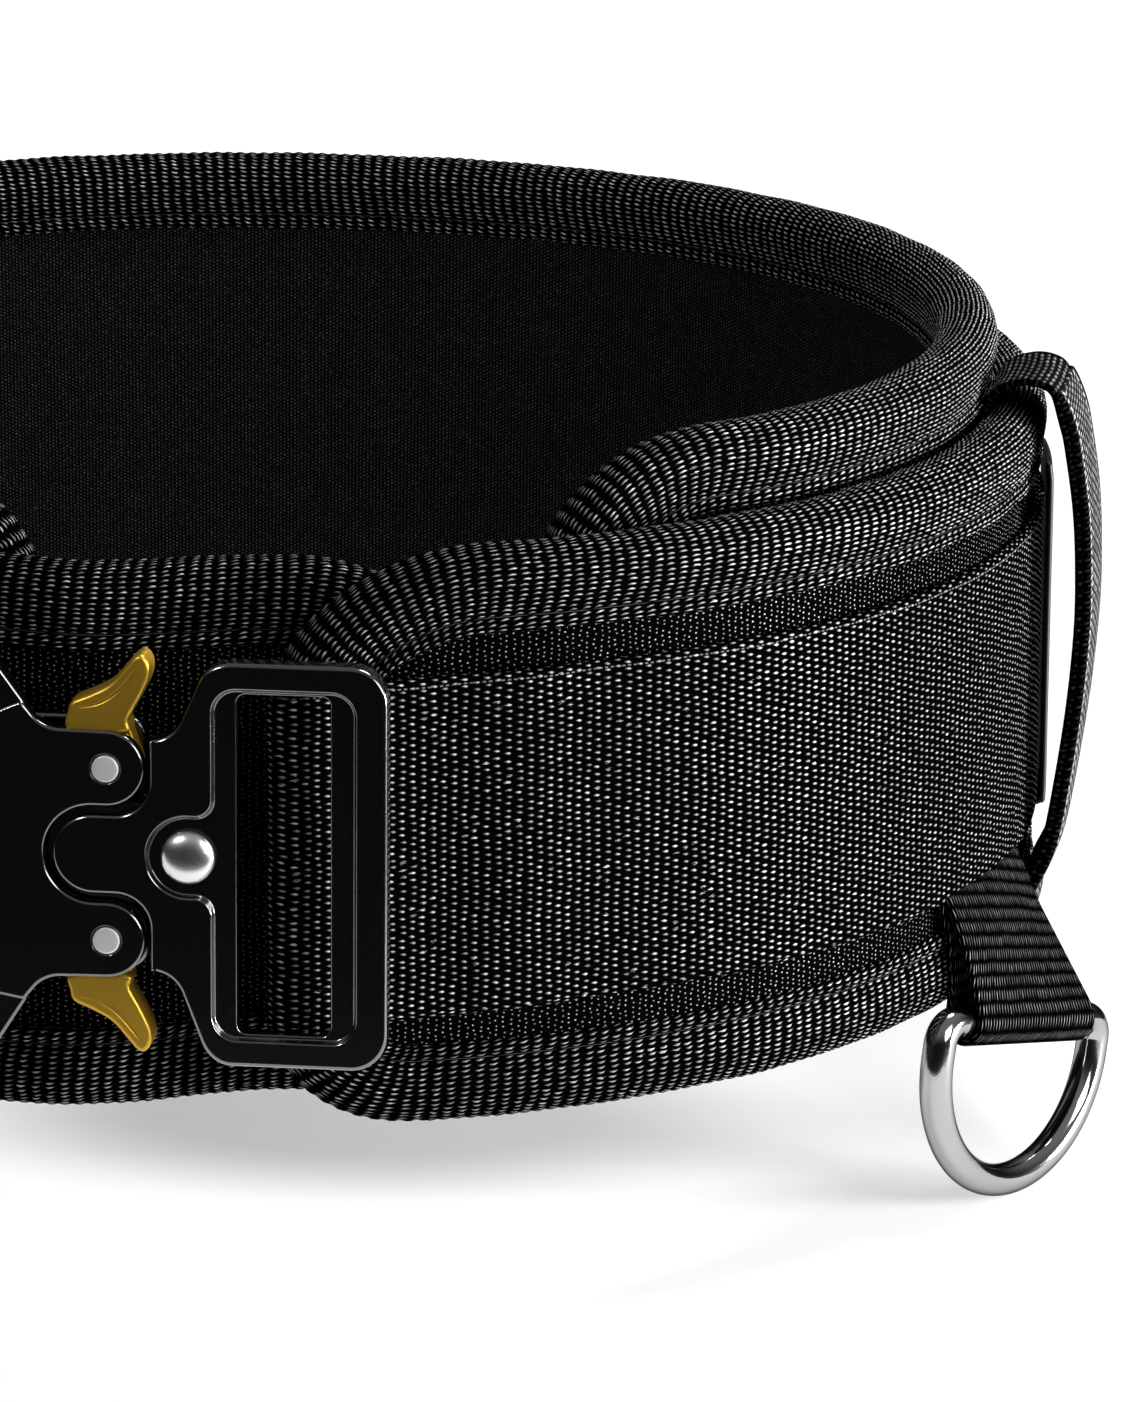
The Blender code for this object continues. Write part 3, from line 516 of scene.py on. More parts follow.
def even(outline: np.ndarray, spacing: float = 0.00035) -> np.ndarray:
    """Return a closed outline, anticlockwise, with evenly spaced points.

    Args:
        outline: Rows of x and z.
        spacing: Wanted distance of the points, which is fitted to the outline's length.

    Returns:
        Array of x and z, at least sixteen rows.
    """
    ring = np.concatenate((outline, outline[:1]))
    x, z = outline[:, 0], outline[:, 1]
    area = np.sum(x * np.roll(z, -1) - np.roll(x, -1) * z)
    if area < 0.0:
        ring = ring[::-1]
    length = arc_lengths(ring)
    count = max(16, int(round(length[-1] / spacing)))
    return resampled(ring, length, np.arange(count) * length[-1] / count)


def grown(outline: np.ndarray, distance: float) -> np.ndarray:
    """Return an even, anticlockwise outline moved outwards along its own normals.

    Args:
        outline: Rows of x and z.
        distance: How far each point moves.

    Returns:
        Array of the same shape.
    """
    run = unit(np.roll(outline, -2, axis=0) - np.roll(outline, 2, axis=0))
    return outline + distance * np.stack((run[:, 1], -run[:, 0]), axis=-1)


@dataclass
class Plate:
    """A solid in the buckle's plane, built up from rings of points at depths behind its face.

    A wall joins an outline's rings, and a flat face fills the space between rings.
    """

    name: str
    face_y: float
    points: list[np.ndarray] = field(default_factory=list)
    quads: list[np.ndarray] = field(default_factory=list)
    fills: list[tuple[np.ndarray, ...]] = field(default_factory=list)
    count: int = 0

    def ring(self, outline: np.ndarray, depth: float) -> np.ndarray:
        """Add one ring of points.

        Args:
            outline: Rows of x and z.
            depth: How far behind the face they lie.

        Returns:
            The points' numbers.
        """
        y = np.full(len(outline), self.face_y + depth)
        self.points.append(np.stack((outline[:, 0], y, outline[:, 1]), axis=-1))
        numbers = np.arange(self.count, self.count + len(outline))
        self.count += len(outline)
        return numbers

    def wall(
        self, outline: np.ndarray, steps: Sequence[tuple[float, float]],
    ) -> tuple[np.ndarray, np.ndarray]:
        """Add a wall that follows an outline.

        Args:
            outline: Closed outline of x and z.
            steps: Pairs of distance outwards and depth, one for each ring.

        Returns:
            Numbers of the first and the last ring's points.
        """
        base = even(outline)
        rings = [self.ring(grown(base, out) if out else base, depth) for out, depth in steps]
        for one, two in zip(rings, rings[1:]):
            self.quads.append(np.stack((one, np.roll(one, -1), np.roll(two, -1), two), axis=-1))
        return rings[0], rings[-1]

    def fill(self, *rings: np.ndarray) -> None:
        """Fill the flat space between rings, the outer one first."""
        self.fills.append(rings)

    def build(self) -> Object:
        """Make the object, fill its flat faces and turn them outwards.

        Returns:
            The new object, smooth shaded with sharp edges.
        """
        mesh = bpy.data.meshes.new(self.name)
        mesh.from_pydata(np.concatenate(self.points).tolist(), [], np.concatenate(self.quads).tolist())
        work = bmesh.new()
        work.from_mesh(mesh)
        work.verts.ensure_lookup_table()
        for rings in self.fills:
            edges = []
            for numbers in rings:
                pairs = zip(numbers.tolist(), np.roll(numbers, -1).tolist())
                edges += [work.edges.get((work.verts[a], work.verts[b])) for a, b in pairs]
            bmesh.ops.triangle_fill(work, use_beauty=True, edges=edges, normal=(0.0, -1.0, 0.0))
        bmesh.ops.recalc_face_normals(work, faces=work.faces)
        work.to_mesh(mesh)
        work.free()
        piece = linked(self.name, mesh)
        mesh.shade_smooth()
        mesh.set_sharp_from_angle(angle=math.radians(PLATE_SHARP))
        return piece


def edge_steps(
    front: float, back: float, fillet: float, side: float = -1.0, steps: int = 5,
) -> list[tuple[float, float]]:
    """Return a wall's steps: a flat rim, a quarter round, the side, a quarter round, a flat rim.

    Args:
        front: Depth of the front face.
        back: Depth of the back face.
        fillet: Radius of the two quarter rounds.
        side: -1 for an outer edge and 1 for a hole's edge.
        steps: Segments of each quarter round.

    Returns:
        Pairs of distance outwards and depth.
    """
    turn = np.linspace(0.0, math.pi / 2, steps + 1)
    out = side * fillet * (1.0 - np.sin(turn))
    down = fillet * (1.0 - np.cos(turn))
    rows = [(side * (fillet + RIM), front)]
    rows += [(float(o), front + float(d)) for o, d in zip(out, down)]
    rows += [(float(o), back - float(d)) for o, d in zip(out[::-1], down[::-1])]
    return rows + [(side * (fillet + RIM), back)]


def simple_plate(
    name: str, face_y: float, outline: np.ndarray, front: float, back: float, fillet: float,
    holes: Sequence[np.ndarray] = (), hole_fillet: float = 0.00012,
) -> Object:
    """Make a plate of one thickness with round edges, also at its holes.

    Args:
        name: The object's name.
        face_y: Where depth 0 lies.
        outline: Rows of x and z.
        front: Depth of the front face.
        back: Depth of the back face.
        fillet: Radius of the outer edges.
        holes: Outlines of the holes.
        hole_fillet: Radius of the holes' edges.

    Returns:
        The new object.
    """
    plate = Plate(name, face_y)
    first, last = plate.wall(outline, edge_steps(front, back, fillet))
    rims = [plate.wall(hole, edge_steps(front, back, hole_fillet, side=1.0, steps=2)) for hole in holes]
    plate.fill(first, *(rim[0] for rim in rims))
    plate.fill(last, *(rim[1] for rim in rims))
    return plate.build()


def joined(name: str, pieces: Sequence[Object]) -> Object:
    """Join objects into one mesh and remove them.

    Args:
        name: The new object's name.
        pieces: The objects.

    Returns:
        The new object.
    """
    work = bmesh.new()
    for piece in pieces:
        work.from_mesh(piece.data)
    mesh = bpy.data.meshes.new(name)
    work.to_mesh(mesh)
    work.free()
    for piece in pieces:
        bpy.data.objects.remove(piece)
    return linked(name, mesh)


def carved(piece: Object, cutter: Object) -> None:
    """Cut one closed mesh out of another and remove the cutter.

    Args:
        piece: The object that is cut.
        cutter: The object that is taken away from it.
    """
    cut = piece.modifiers.new("cut", "BOOLEAN")
    cut.operation = "DIFFERENCE"
    cut.object = cutter
    cut.solver = "EXACT"
    graph = bpy.context.evaluated_depsgraph_get()
    mesh = bpy.data.meshes.new_from_object(piece.evaluated_get(graph))
    piece.modifiers.clear()
    piece.data = mesh
    bpy.data.objects.remove(cutter)


def tube(
    name: str, path: np.ndarray, radius: np.ndarray | float, sides: int = 20, closed: bool = False,
) -> Object:
    """Make a tube: circles square to a path that lies in one plane.

    Args:
        name: The object's name.
        path: Points of the tube's middle line.
        radius: One radius or one for each point.
        sides: Points of each circle.
        closed: Whether the path is a loop.

    Returns:
        The new object.
    """
    if closed:
        run = np.roll(path, -1, axis=0) - np.roll(path, 1, axis=0)
    else:
        run = np.gradient(path, axis=0)
    run = unit(run)
    plane_normal = np.linalg.svd(path - path.mean(axis=0))[2][2]
    one = unit(np.cross(run, plane_normal))
    two = np.cross(run, one)
    turn = np.linspace(0.0, 2.0 * math.pi, sides, endpoint=False)
    r = np.broadcast_to(np.asarray(radius, float), (len(path),))[:, None, None]
    circle = one[:, None] * np.cos(turn)[None, :, None] + two[:, None] * np.sin(turn)[None, :, None]
    u = arc_lengths(path, 0, closed=closed)
    v = np.linspace(0.0, 1.0, sides + 1) * 2.0 * math.pi * float(np.mean(r))
    points = path[:, None] + r * circle
    return surface(name, points, uv_grid(u, v), loop_rows=closed, loop_columns=True, cap_ends=not closed)


def turned(name: str, profile: np.ndarray, centre: Sequence[float], sides: int = 48) -> Object:
    """Make a turned solid about a line along Y.

    Args:
        name: The object's name.
        profile: Rows of radius and depth, from the axis at the front to the axis at the back.
        centre: x, y and z of the point of no radius and no depth.
        sides: Points of each circle.

    Returns:
        The new object, a polar grid whose first and last circles are nearly points.
    """
    turn = np.linspace(0.0, 2.0 * math.pi, sides, endpoint=False)
    r = np.maximum(profile[:, :1], 0.00002)
    x = centre[0] + r * np.cos(turn)[None]
    z = centre[2] + r * np.sin(turn)[None]
    y = np.broadcast_to(centre[1] + profile[:, 1:], x.shape)
    uv = uv_grid(arc_lengths(profile), np.linspace(0.0, 1.0, sides + 1))
    piece = surface(name, np.stack((x, y, z), axis=-1), uv, loop_columns=True, cap_ends=True)
    piece.data.set_sharp_from_angle(angle=math.radians(TURNED_SHARP))
    return piece


# Shader maths

class Value:
    """A number or vector in a node tree that can be used in expressions."""

    def __init__(self, net: Net, socket: NodeSocket) -> None:
        """Keep the tree and the output socket."""
        self.net = net
        self.socket = socket

    def __add__(self, other: Value | float) -> Value:
        """Sum."""
        return self.net.math("ADD", self, other)

    def __sub__(self, other: Value | float) -> Value:
        """Difference."""
        return self.net.math("SUBTRACT", self, other)

    def __rsub__(self, other: float) -> Value:
        """Difference from a number."""
        return self.net.math("SUBTRACT", other, self)

    def __mul__(self, other: Value | float) -> Value:
        """Product."""
        return self.net.math("MULTIPLY", self, other)

    def __truediv__(self, other: Value | float) -> Value:
        """Quotient."""
        return self.net.math("DIVIDE", self, other)

    def __pow__(self, other: float) -> Value:
        """Power."""
        return self.net.math("POWER", self, other)

    __radd__ = __add__
    __rmul__ = __mul__

    def floor(self) -> Value:
        """Next whole number below."""
        return self.net.math("FLOOR", self)

    def size(self) -> Value:
        """Absolute value."""
        return self.net.math("ABSOLUTE", self)

    def root(self) -> Value:
        """Square root."""
        return self.net.math("SQRT", self)

    def step(self, low: float, high: float, start: float = 0.0, end: float = 1.0) -> Value:
        """Return a smooth step between two numbers.

        Args:
            low: Where the step starts; it may be the larger.
            high: Where the step ends.
            start: The result before the step.
            end: The result after it.

        Returns:
            The step's value.
        """
        if low > high:
            low, high, start, end = high, low, end, start
        inputs = {"Value": self, "From Min": low, "From Max": high, "To Min": start, "To Max": end}
        return self.net.node("ShaderNodeMapRange", {"interpolation_type": "SMOOTHSTEP"}, inputs)


class Net:
    """The node tree of a material or world, with the shader that its values go to."""

    def __init__(self, data: Material | World, shader: str = "Principled BSDF") -> None:
        """Switch the nodes on and keep the tree and its shader.

        Args:
            data: The new material or world.
            shader: Name of the shader's node.
        """
        data.use_nodes = True
        self.data = data
        self.tree = data.node_tree
        self.shader = self.tree.nodes[shader]

    def node(self, kind: str, settings: dict, inputs: dict, output: int | str = 0) -> Value:
        """Add a node.

        Args:
            kind: The node's type.
            settings: Attributes that are set first.
            inputs: Values or links by socket name or number.
            output: The socket that is returned.

        Returns:
            The chosen output.
        """
        made = self.tree.nodes.new(kind)
        for key, value in settings.items():
            setattr(made, key, value)
        for key, value in inputs.items():
            self.feed(made.inputs[key], value)
        return Value(self, made.outputs[output])

    def feed(self, socket: NodeSocket, value: Value | float | Sequence[float]) -> None:
        """Link or set one input socket.

        Args:
            socket: The input.
            value: What it gets.
        """
        if isinstance(value, Value):
            self.tree.links.new(value.socket, socket)
        else:
            socket.default_value = value

    def math(self, operation: str, *values: Value | float) -> Value:
        """Add a Math node."""
        return self.node("ShaderNodeMath", {"operation": operation}, dict(enumerate(values)))

    def uv(self) -> tuple[Value, ...]:
        """Return the weave map's u and v in metres."""
        return self.parts(self.node("ShaderNodeUVMap", {"uv_map": "weave"}, {}))[:2]

    def place(self) -> Value:
        """Return Object coordinates."""
        return self.node("ShaderNodeTexCoord", {}, {}, "Object")

    def parts(self, vector: Value) -> tuple[Value, ...]:
        """Split a vector into its three numbers."""
        first = self.node("ShaderNodeSeparateXYZ", {}, {0: vector})
        return tuple(Value(self, part) for part in first.socket.node.outputs)

    def vector(self, x: Value | float, y: Value | float, z: Value | float = 0.0) -> Value:
        """Join three numbers."""
        return self.node("ShaderNodeCombineXYZ", {}, {0: x, 1: y, 2: z})

    def noise(self, vector: Value, scale: float, detail: float = 2.0) -> Value:
        """Return noise around one half."""
        return self.node("ShaderNodeTexNoise", {}, {"Vector": vector, "Scale": scale, "Detail": detail})

    def chance(self, x: Value, y: Value) -> Value:
        """Return a random number for each pair of whole numbers."""
        pair = self.vector(x, y)
        return self.node("ShaderNodeTexWhiteNoise", {"noise_dimensions": "2D"}, {"Vector": pair})

    def grey(self, value: Value) -> Value:
        """Return a colour with three equal parts."""
        return self.node("ShaderNodeCombineColor", {}, {0: value, 1: value, 2: value})

    def mix(self, share: Value, first: Sequence[float], second: Sequence[float]) -> Value:
        """Mix two colours."""
        return self.node("ShaderNodeMix", {"data_type": "RGBA"}, {0: share, 6: first, 7: second}, 2)

    def bump(self, height: Value, distance: float) -> Value:
        """Return a normal tilted by a height in shares of the distance."""
        return self.node("ShaderNodeBump", {}, {"Height": height, "Distance": distance, "Strength": 1.0})

    def finish(self, **sockets: Value | float | Sequence[float]) -> Material | World:
        """Set the shader's sockets.

        Args:
            sockets: Values by socket name, with spaces written as underscores.

        Returns:
            The material or world.
        """
        for key, value in sockets.items():
            self.feed(self.shader.inputs[key.replace("_", " ")], value)
        return self.data


# Finishes

@dataclass(frozen=True)
class Seam:
    """A line of stitches along the cloth: where it lies across it, its pitch and the share that shows."""

    at: float
    pitch: float
    share: float
    half_width: float
    light: float
    soft: float = 0.08
    waver: float = 0.0003

    def stitches(self, u: Value, v: Value, drift: Value) -> Value:
        """Return 1 on the stitches and 0 beside them: a narrow line across times a beat along.

        Args:
            u: Place along the cloth.
            v: Place across it.
            drift: Noise that lets the line waver.

        Returns:
            The share of thread.
        """
        line = (v + drift * self.waver - self.at).size().step(self.half_width, 0.3 * self.half_width)
        beat, half = u / self.pitch, 0.5 * self.share
        return line * (beat - beat.floor() - 0.5).size().step(half + self.soft, half - self.soft)


@dataclass(frozen=True)
class Woven:
    """Cloth whose threads show as short bright dashes, in columns across it, on a black ground: the dashes'
    tone is the weave's pattern with painted highlight, the glints of the black yarn.

    A dash is a drop in its cell, blunt and bright at one end; a negative first size turns it
    round. It is moved by a share of the pitch in every other column, slanted and bent. Noise
    bends the columns and loosens some threads, and chance moves and dims the single dashes.
    Skew slants the columns, and with a face's width given the edges and the back stay dark.
    """

    slot: str
    column: float
    row: float
    dash: tuple[float, float]
    stagger: float = 0.5
    slant: float = 0.0
    ground: float = 0.0015
    thread: float = 0.20
    relief: float = 0.00035
    warp: float = 0.00025
    warp_scale: float = 110.0
    patch_scale: float = 240.0
    fibre_scale: tuple[float, float] = (900.0, 5200.0)
    jitter: float = 0.22
    bow: float = 0.0
    middle: float = 0.0
    span: float = 1.0
    creases: tuple[float, ...] = ()
    crease_width: tuple[float, float] = (0.0001, 0.0007)
    seams: tuple[Seam, ...] = ()
    roughness: float = 0.6
    gloss: float = 0.8
    gloss_roughness: float = 0.42
    taper: float = 0.55
    fade: float = 0.70
    curve: float = 0.0
    loose: float = 0.6
    skew: float = 0.0
    face: float = 0.0

    def cell(self, u: Value, v: Value, bend: Value, drift: Value) -> tuple[Value, ...]:
        """Divide the bent cloth into cells: whole numbers count them and the rest is the place inside.

        Args:
            u: Place along the cloth.
            v: Place across it.
            bend: Noise that moves the columns.
            drift: Noise that moves the rows.

        Returns:
            The column, the row, and the place from the cell's middle along and across the cloth.
        """
        along = u + bend * (2.0 * self.warp) + v * self.skew
        across = v + drift * self.warp
        lean = self.slant
        if self.bow:
            fold = (v - self.middle) / self.span
            along = along + (1.0 - fold * fold) * self.bow
            lean = fold * (-self.slant)
        along, across = along / self.column, across / self.row
        column = along.floor()
        x = along - column - 0.5
        odd = column - (column * 0.5).floor() * 2.0
        across = across + odd * self.stagger + x * lean
        row = across.floor()
        return column, row, x, across - row - 0.5

    def make(self) -> Material:
        """Build the material: dashes with painted highlights, then painted shade in the creases, stitches
        and the dark back over them.

        Returns:
            The material.
        """
        net = Net(bpy.data.materials.new(f"{self.slot}_finish"))
        u, v = net.uv()
        place = net.vector(u, v)
        bend = net.noise(place, self.warp_scale) - 0.5
        drift = net.noise(net.vector(u + 3.7, v), self.warp_scale) - 0.5
        patch = net.noise(place, self.patch_scale, 3.0)
        fibre = net.noise(net.vector(u * self.fibre_scale[0], v * self.fibre_scale[1]), 1.0)

        # Chance and loose threads move a dash from the middle of its cell.
        column, row, x, y = self.cell(u, v, bend, drift)
        chance, other = net.chance(column, row), net.chance(column + 0.37, row + 0.71)
        pull = (fibre - 0.5) * (patch.step(0.55, 0.68) * self.loose)
        x = x + (other - 0.5) * self.jitter + pull
        y = y + (chance - 0.5) * self.jitter + pull + x * x * self.curve

        # A dash is an ellipse that narrows towards one end and fades there.
        long, wide = self.dash
        blunt = 1.0 - self.taper + self.taper * x.step(-1.1 * long, 0.3 * long)
        distance = ((x / long) ** 2.0 + (y / blunt / wide) ** 2.0).root()
        dome = distance.step(1.4, 0.0)
        tail = 1.0 - self.fade + self.fade * (x / long + 0.2 * fibre).step(-1.0, 0.5)

        # The dashes' painted highlight differs by chance, from patch to patch and along the fibres.
        light = distance.step(1.0, 0.35) * tail
        light = light * (0.55 + 0.75 * other * other) * (0.35 + 1.3 * patch) * (0.4 + 1.2 * fibre)
        # Painted highlight: the dashes' light base colour stands in for glints on the black yarn.
        tone = self.ground * (0.6 + 0.8 * fibre) + light * self.thread

        # Creases get painted shade, stitches are bright, and the strap's edges and back dark again.
        # Painted shade: each crease darkens the tone to 12 per cent at its middle.
        for at in self.creases:
            beside = (v - at).size().step(*self.crease_width)
            tone = tone * (0.12 + 0.88 * beside)
            dome = dome * (0.4 + 0.6 * beside)
        for seam in self.seams:
            stitch = seam.stitches(u, v, drift)
            tone = tone + stitch * (seam.light * self.thread)
            dome = dome + stitch
        if self.face:
            outside = v.step(self.face + 0.0003, self.face - 0.0001)
            tone = tone * (0.08 + 0.92 * outside)
            light = light * outside
        return net.finish(
            Base_Color=net.grey(tone), Roughness=self.roughness, Specular_IOR_Level=0.0,
            Normal=net.bump(dome, self.relief),
            Coat_Weight=light * self.gloss, Coat_Roughness=self.gloss_roughness,
        )


@dataclass(frozen=True)
class Metal:
    """A hard surface: fine grain in its normal, broad variation in its roughness and tone."""

    slot: str
    colour: tuple[float, float, float]
    metallic: float
    roughness: float
    spread: float = 0.08
    shade: float = 0.82
    broad: float = 60.0
    grain: float = 2500.0
    relief: float = 0.00001
    shine: float = 0.5
    edge: float = 1.0
    coat: float = 0.0
    coat_roughness: float = 0.12
    coat_index: float = 2.0

    def make(self) -> Material:
        """Build the material: noise mixes two tones of the colour and moves the roughness.

        Returns:
            The material.
        """
        net = Net(bpy.data.materials.new(f"{self.slot}_finish"))
        place = net.place()
        broad = net.noise(place, self.broad, 3.0)
        dark = tuple(self.shade * part for part in self.colour)
        return net.finish(
            Base_Color=net.mix(broad, (*dark, 1.0), (*self.colour, 1.0)), Metallic=self.metallic,
            Roughness=self.roughness + (broad - 0.5) * self.spread,
            Normal=net.bump(net.noise(place, self.grain), self.relief),
            Specular_IOR_Level=self.shine, Specular_Tint=(self.edge, self.edge, self.edge, 1.0),
            Coat_Weight=self.coat, Coat_Roughness=self.coat_roughness, Coat_IOR=self.coat_index,
        )


# Pads and their bound edges

@dataclass(frozen=True)
class Roll:
    """The bound edge's section, as reach out of the edge's centre line and depth from the middle."""

    flange: float = 0.0090
    crease: float = 0.0062
    half: float = 0.0057
    steps: int = 2
    crease_knot: int = 3
    well_points: int = 6
    rib_pitch: float = 0.0024
    rib_height: float = 0.00013
    rib_parts: int = 4
    bow: float = 0.0011

    def outer_side(self) -> np.ndarray:
        """Curve the section's outer half through its knots.

        Returns:
            Rows of reach and depth, from the core's face to the roll's rim.
        """
        knots = [
            (-self.flange, 0.0039), (-self.flange + 0.0002, 0.0048), (-0.0074, 0.0051),
            (-self.crease, 0.0045), (-0.0050, 0.0050), (-0.0028, 0.0055), (0.0004, self.half),
            (0.0034, 0.0046), (0.0052, 0.0024), (self.half, 0.0),
        ]
        return through(knots, self.steps)

    def section(self) -> np.ndarray:
        """Close the section: outer half, its mirror image and the well that the core fills.

        Returns:
            Rows of reach and depth.
        """
        outer = self.outer_side()
        inner = outer[-2::-1] * np.array([1.0, -1.0])
        well = np.array([(-self.flange, -0.0037), (0.0013, -0.0037), (0.0042, -0.0016)])
        return np.concatenate((outer, inner, well, well[::-1] * np.array([1.0, -1.0])))

    @property
    def rim_length(self) -> float:
        """Length along the section from its start to the roll's rim."""
        return float(arc_lengths(self.outer_side())[-1])

    @property
    def crease_length(self) -> float:
        """Length along the section from its start to the crease."""
        return float(arc_lengths(self.outer_side())[self.crease_knot * self.steps])

    def rib(self, u: np.ndarray, v: np.ndarray) -> np.ndarray:
        """Return the height of the cross ribs: a cosine wave along u, bowed between the creases.

        Args:
            u: Length along the edge.
            v: Length along the section.

        Returns:
            Array of the shape of u and v together.
        """
        fold = (v - self.rim_length) / (self.rim_length - self.crease_length)
        wave = np.cos(2.0 * math.pi * ((u + self.bow * (1.0 - fold * fold)) / self.rib_pitch - 0.5))
        return self.rib_height * wave * np.where(np.abs(fold) < 1.3, 1.0, 0.0)


@dataclass
class Pad:
    """A padded layer: a foam core and the binding round its edge."""

    word: str
    slot: str
    fill: float
    first: float
    last: float
    outer_cloth: bool = False
    binding_fill: float = 0.9
    top_z: float = 0.0588
    bottom_z: float = -0.0440
    height: float = 0.1028
    lean: float = 0.0020
    tuck: float = 0.0020
    tuck_reach: tuple[float, float] = (0.0125, 0.035)
    top_corner: tuple[float, float] = (0.030, 0.024)
    bottom_corner: tuple[float, float] = (0.018, 0.014)
    core_half: float = CORE_HALF
    core_rim: float = 0.0008
    core_reach: float = 0.0040
    core_play: float = 0.0006
    core_taper: float = 0.0030
    core_puff: float = 0.0004
    core_wave: float = 0.09
    core_swell: float = 0.02
    core_step: float = 0.0035
    core_columns: int = 26
    corner_columns: int = 13
    edge_puff: float = 0.00014
    edge_wave: float = 0.047
    edge_step: float = 0.0021
    roll: Roll = Roll()

    @property
    def name(self) -> str:
        """The pad's name, which its core stands for."""
        return f"{self.word}_pad"

    def top(self, s: np.ndarray) -> np.ndarray:
        """Height of the top roll's centre."""
        return np.full_like(s, self.top_z)

    def bottom(self, s: np.ndarray) -> np.ndarray:
        """Height of the bottom roll's centre."""
        return np.full_like(s, self.bottom_z)

    def offset(self, s: np.ndarray, z: np.ndarray) -> np.ndarray:
        """Return the middle surface's offset: it leans in at the bottom and tucks in at both ends.

        Args:
            s: Arc lengths.
            z: Heights.

        Returns:
            Distances outwards from the loop.
        """
        lean = self.lean * (self.top_z - z) / self.height
        inside = np.minimum(s - self.first, self.last - s)
        tuck = self.tuck * (1.0 - smooth((inside - self.tuck_reach[0]) / self.tuck_reach[1]))
        return -lean - tuck

    def skin(self, s: np.ndarray, z: np.ndarray, w: np.ndarray) -> np.ndarray:
        """Return points at arc length s and height z, w out from the middle surface."""
        flat = LOOP.place(s, self.offset(s, z) + w)
        return np.concatenate((flat, np.broadcast_to(z, s.shape)[..., None]), axis=-1)

    def run(self, size: tuple[float, float], step: float) -> np.ndarray:
        """Return the arc lengths between two corners of the given size, both ends included."""
        low, high = self.first + size[0], self.last - size[0]
        return np.linspace(low, high, int(round((high - low) / step)) + 1)

    @staticmethod
    def corner(
        s: float, z: float, size: tuple[float, float], start: float, steps: int = 22,
    ) -> np.ndarray:
        """Return s, z and outward direction along a quarter of an ellipse.

        Args:
            s: Arc length of the ellipse's centre.
            z: Height of the ellipse's centre.
            size: Half axes along the belt and upwards.
            start: First angle in radians.
            steps: Segments of the quarter.

        Returns:
            Array with a row for each point.
        """
        a = np.linspace(start, start + math.pi / 2, steps + 1)
        out = unit(np.stack((np.cos(a) / size[0], np.sin(a) / size[1]), axis=-1))
        place = np.stack((s + size[0] * np.cos(a), z + size[1] * np.sin(a)), axis=-1)
        return np.concatenate((place, out), axis=1)

    def edge_path(self) -> np.ndarray:
        """Go once round the edge's centre line: straight runs between four corners.

        Returns:
            Rows of arc length, height and outward direction.
        """
        low = self.run(self.bottom_corner, self.edge_step)
        high = self.run(self.top_corner, self.edge_step)
        below = self.bottom(low) + self.bottom_corner[1]
        above = self.top(high) - self.top_corner[1]
        zero = np.zeros_like
        return np.concatenate((
            np.stack((low, self.bottom(low), zero(low), zero(low) - 1.0), axis=-1)[1:-1],
            self.corner(low[-1], below[-1], self.bottom_corner, -math.pi / 2),
            self.corner(high[-1], above[-1], self.top_corner, 0.0),
            np.stack((high, self.top(high), zero(high), zero(high) + 1.0), axis=-1)[-2:0:-1],
            self.corner(high[0], above[0], self.top_corner, math.pi / 2),
            self.corner(low[0], below[0], self.bottom_corner, math.pi),
        ))

    def build_binding(self) -> Object:
        """Carry the roll's section round the edge; it swells and shrinks a little, and is ribbed.

        Returns:
            The binding, with UV u along the edge and v round its section.
        """
        path = self.edge_path()
        length = arc_lengths(self.skin(path[:, 0], path[:, 1], np.zeros(len(path))), closed=True)
        ribs = int(round(length[-1] / self.roll.rib_pitch))
        count = ribs * self.roll.rib_parts
        at = np.arange(count) * length[-1] / count
        path = resampled(np.concatenate((path, path[:1])), length, at)
        out = unit(path[:, 2:])
        section = self.roll.section()
        v = arc_lengths(section, closed=True)
        run = unit(np.roll(section, -1, axis=0) - np.roll(section, 1, axis=0))
        puff = self.edge_puff * ripple(at[:, None], v[None, :-1], self.edge_wave, self.fill * 9.0)
        rise = self.roll.rib(at[:, None], v[None, :-1]) + puff
        rise[:, -self.roll.well_points:] = 0.0
        reach = section[None, :, 0] - rise * run[None, :, 1]
        w = section[None, :, 1] + rise * run[None, :, 0]
        s = path[:, None, 0] + reach * out[:, None, 0]
        z = path[:, None, 1] + reach * out[:, None, 1]
        u = np.append(at, length[-1]) * ribs * self.roll.rib_pitch / length[-1]
        points, uv = self.skin(s, z, w), uv_grid(u, v)
        return surface(f"{self.name}_edge", points, uv, loop_rows=True, loop_columns=True)

    def core_edge(
        self, size: tuple[float, float], along: np.ndarray, upward: np.ndarray,
    ) -> tuple[np.ndarray, np.ndarray, np.ndarray]:
        """Follow the core's upper or lower edge, which reaches into the roll.

        Args:
            size: Half axes of the edge's two corners.
            along: Share of the reach along the belt, from -1 at the first end to 1 at the last.
            upward: Share of the reach away from the belt's middle height.

        Returns:
            Arc lengths on the straight run, arc lengths on the edge and the edge's rise.
        """
        run = self.run(self.top_corner, self.core_step)[1:-1]
        count = (len(along) - len(run)) // 2
        base = np.concatenate((
            np.full(count, self.first + size[0]), run, np.full(count, self.last - size[0]),
        ))
        moved = base + along * (size[0] + self.core_reach - self.core_play)
        return base, moved, upward * (size[1] + self.core_reach) - size[1]

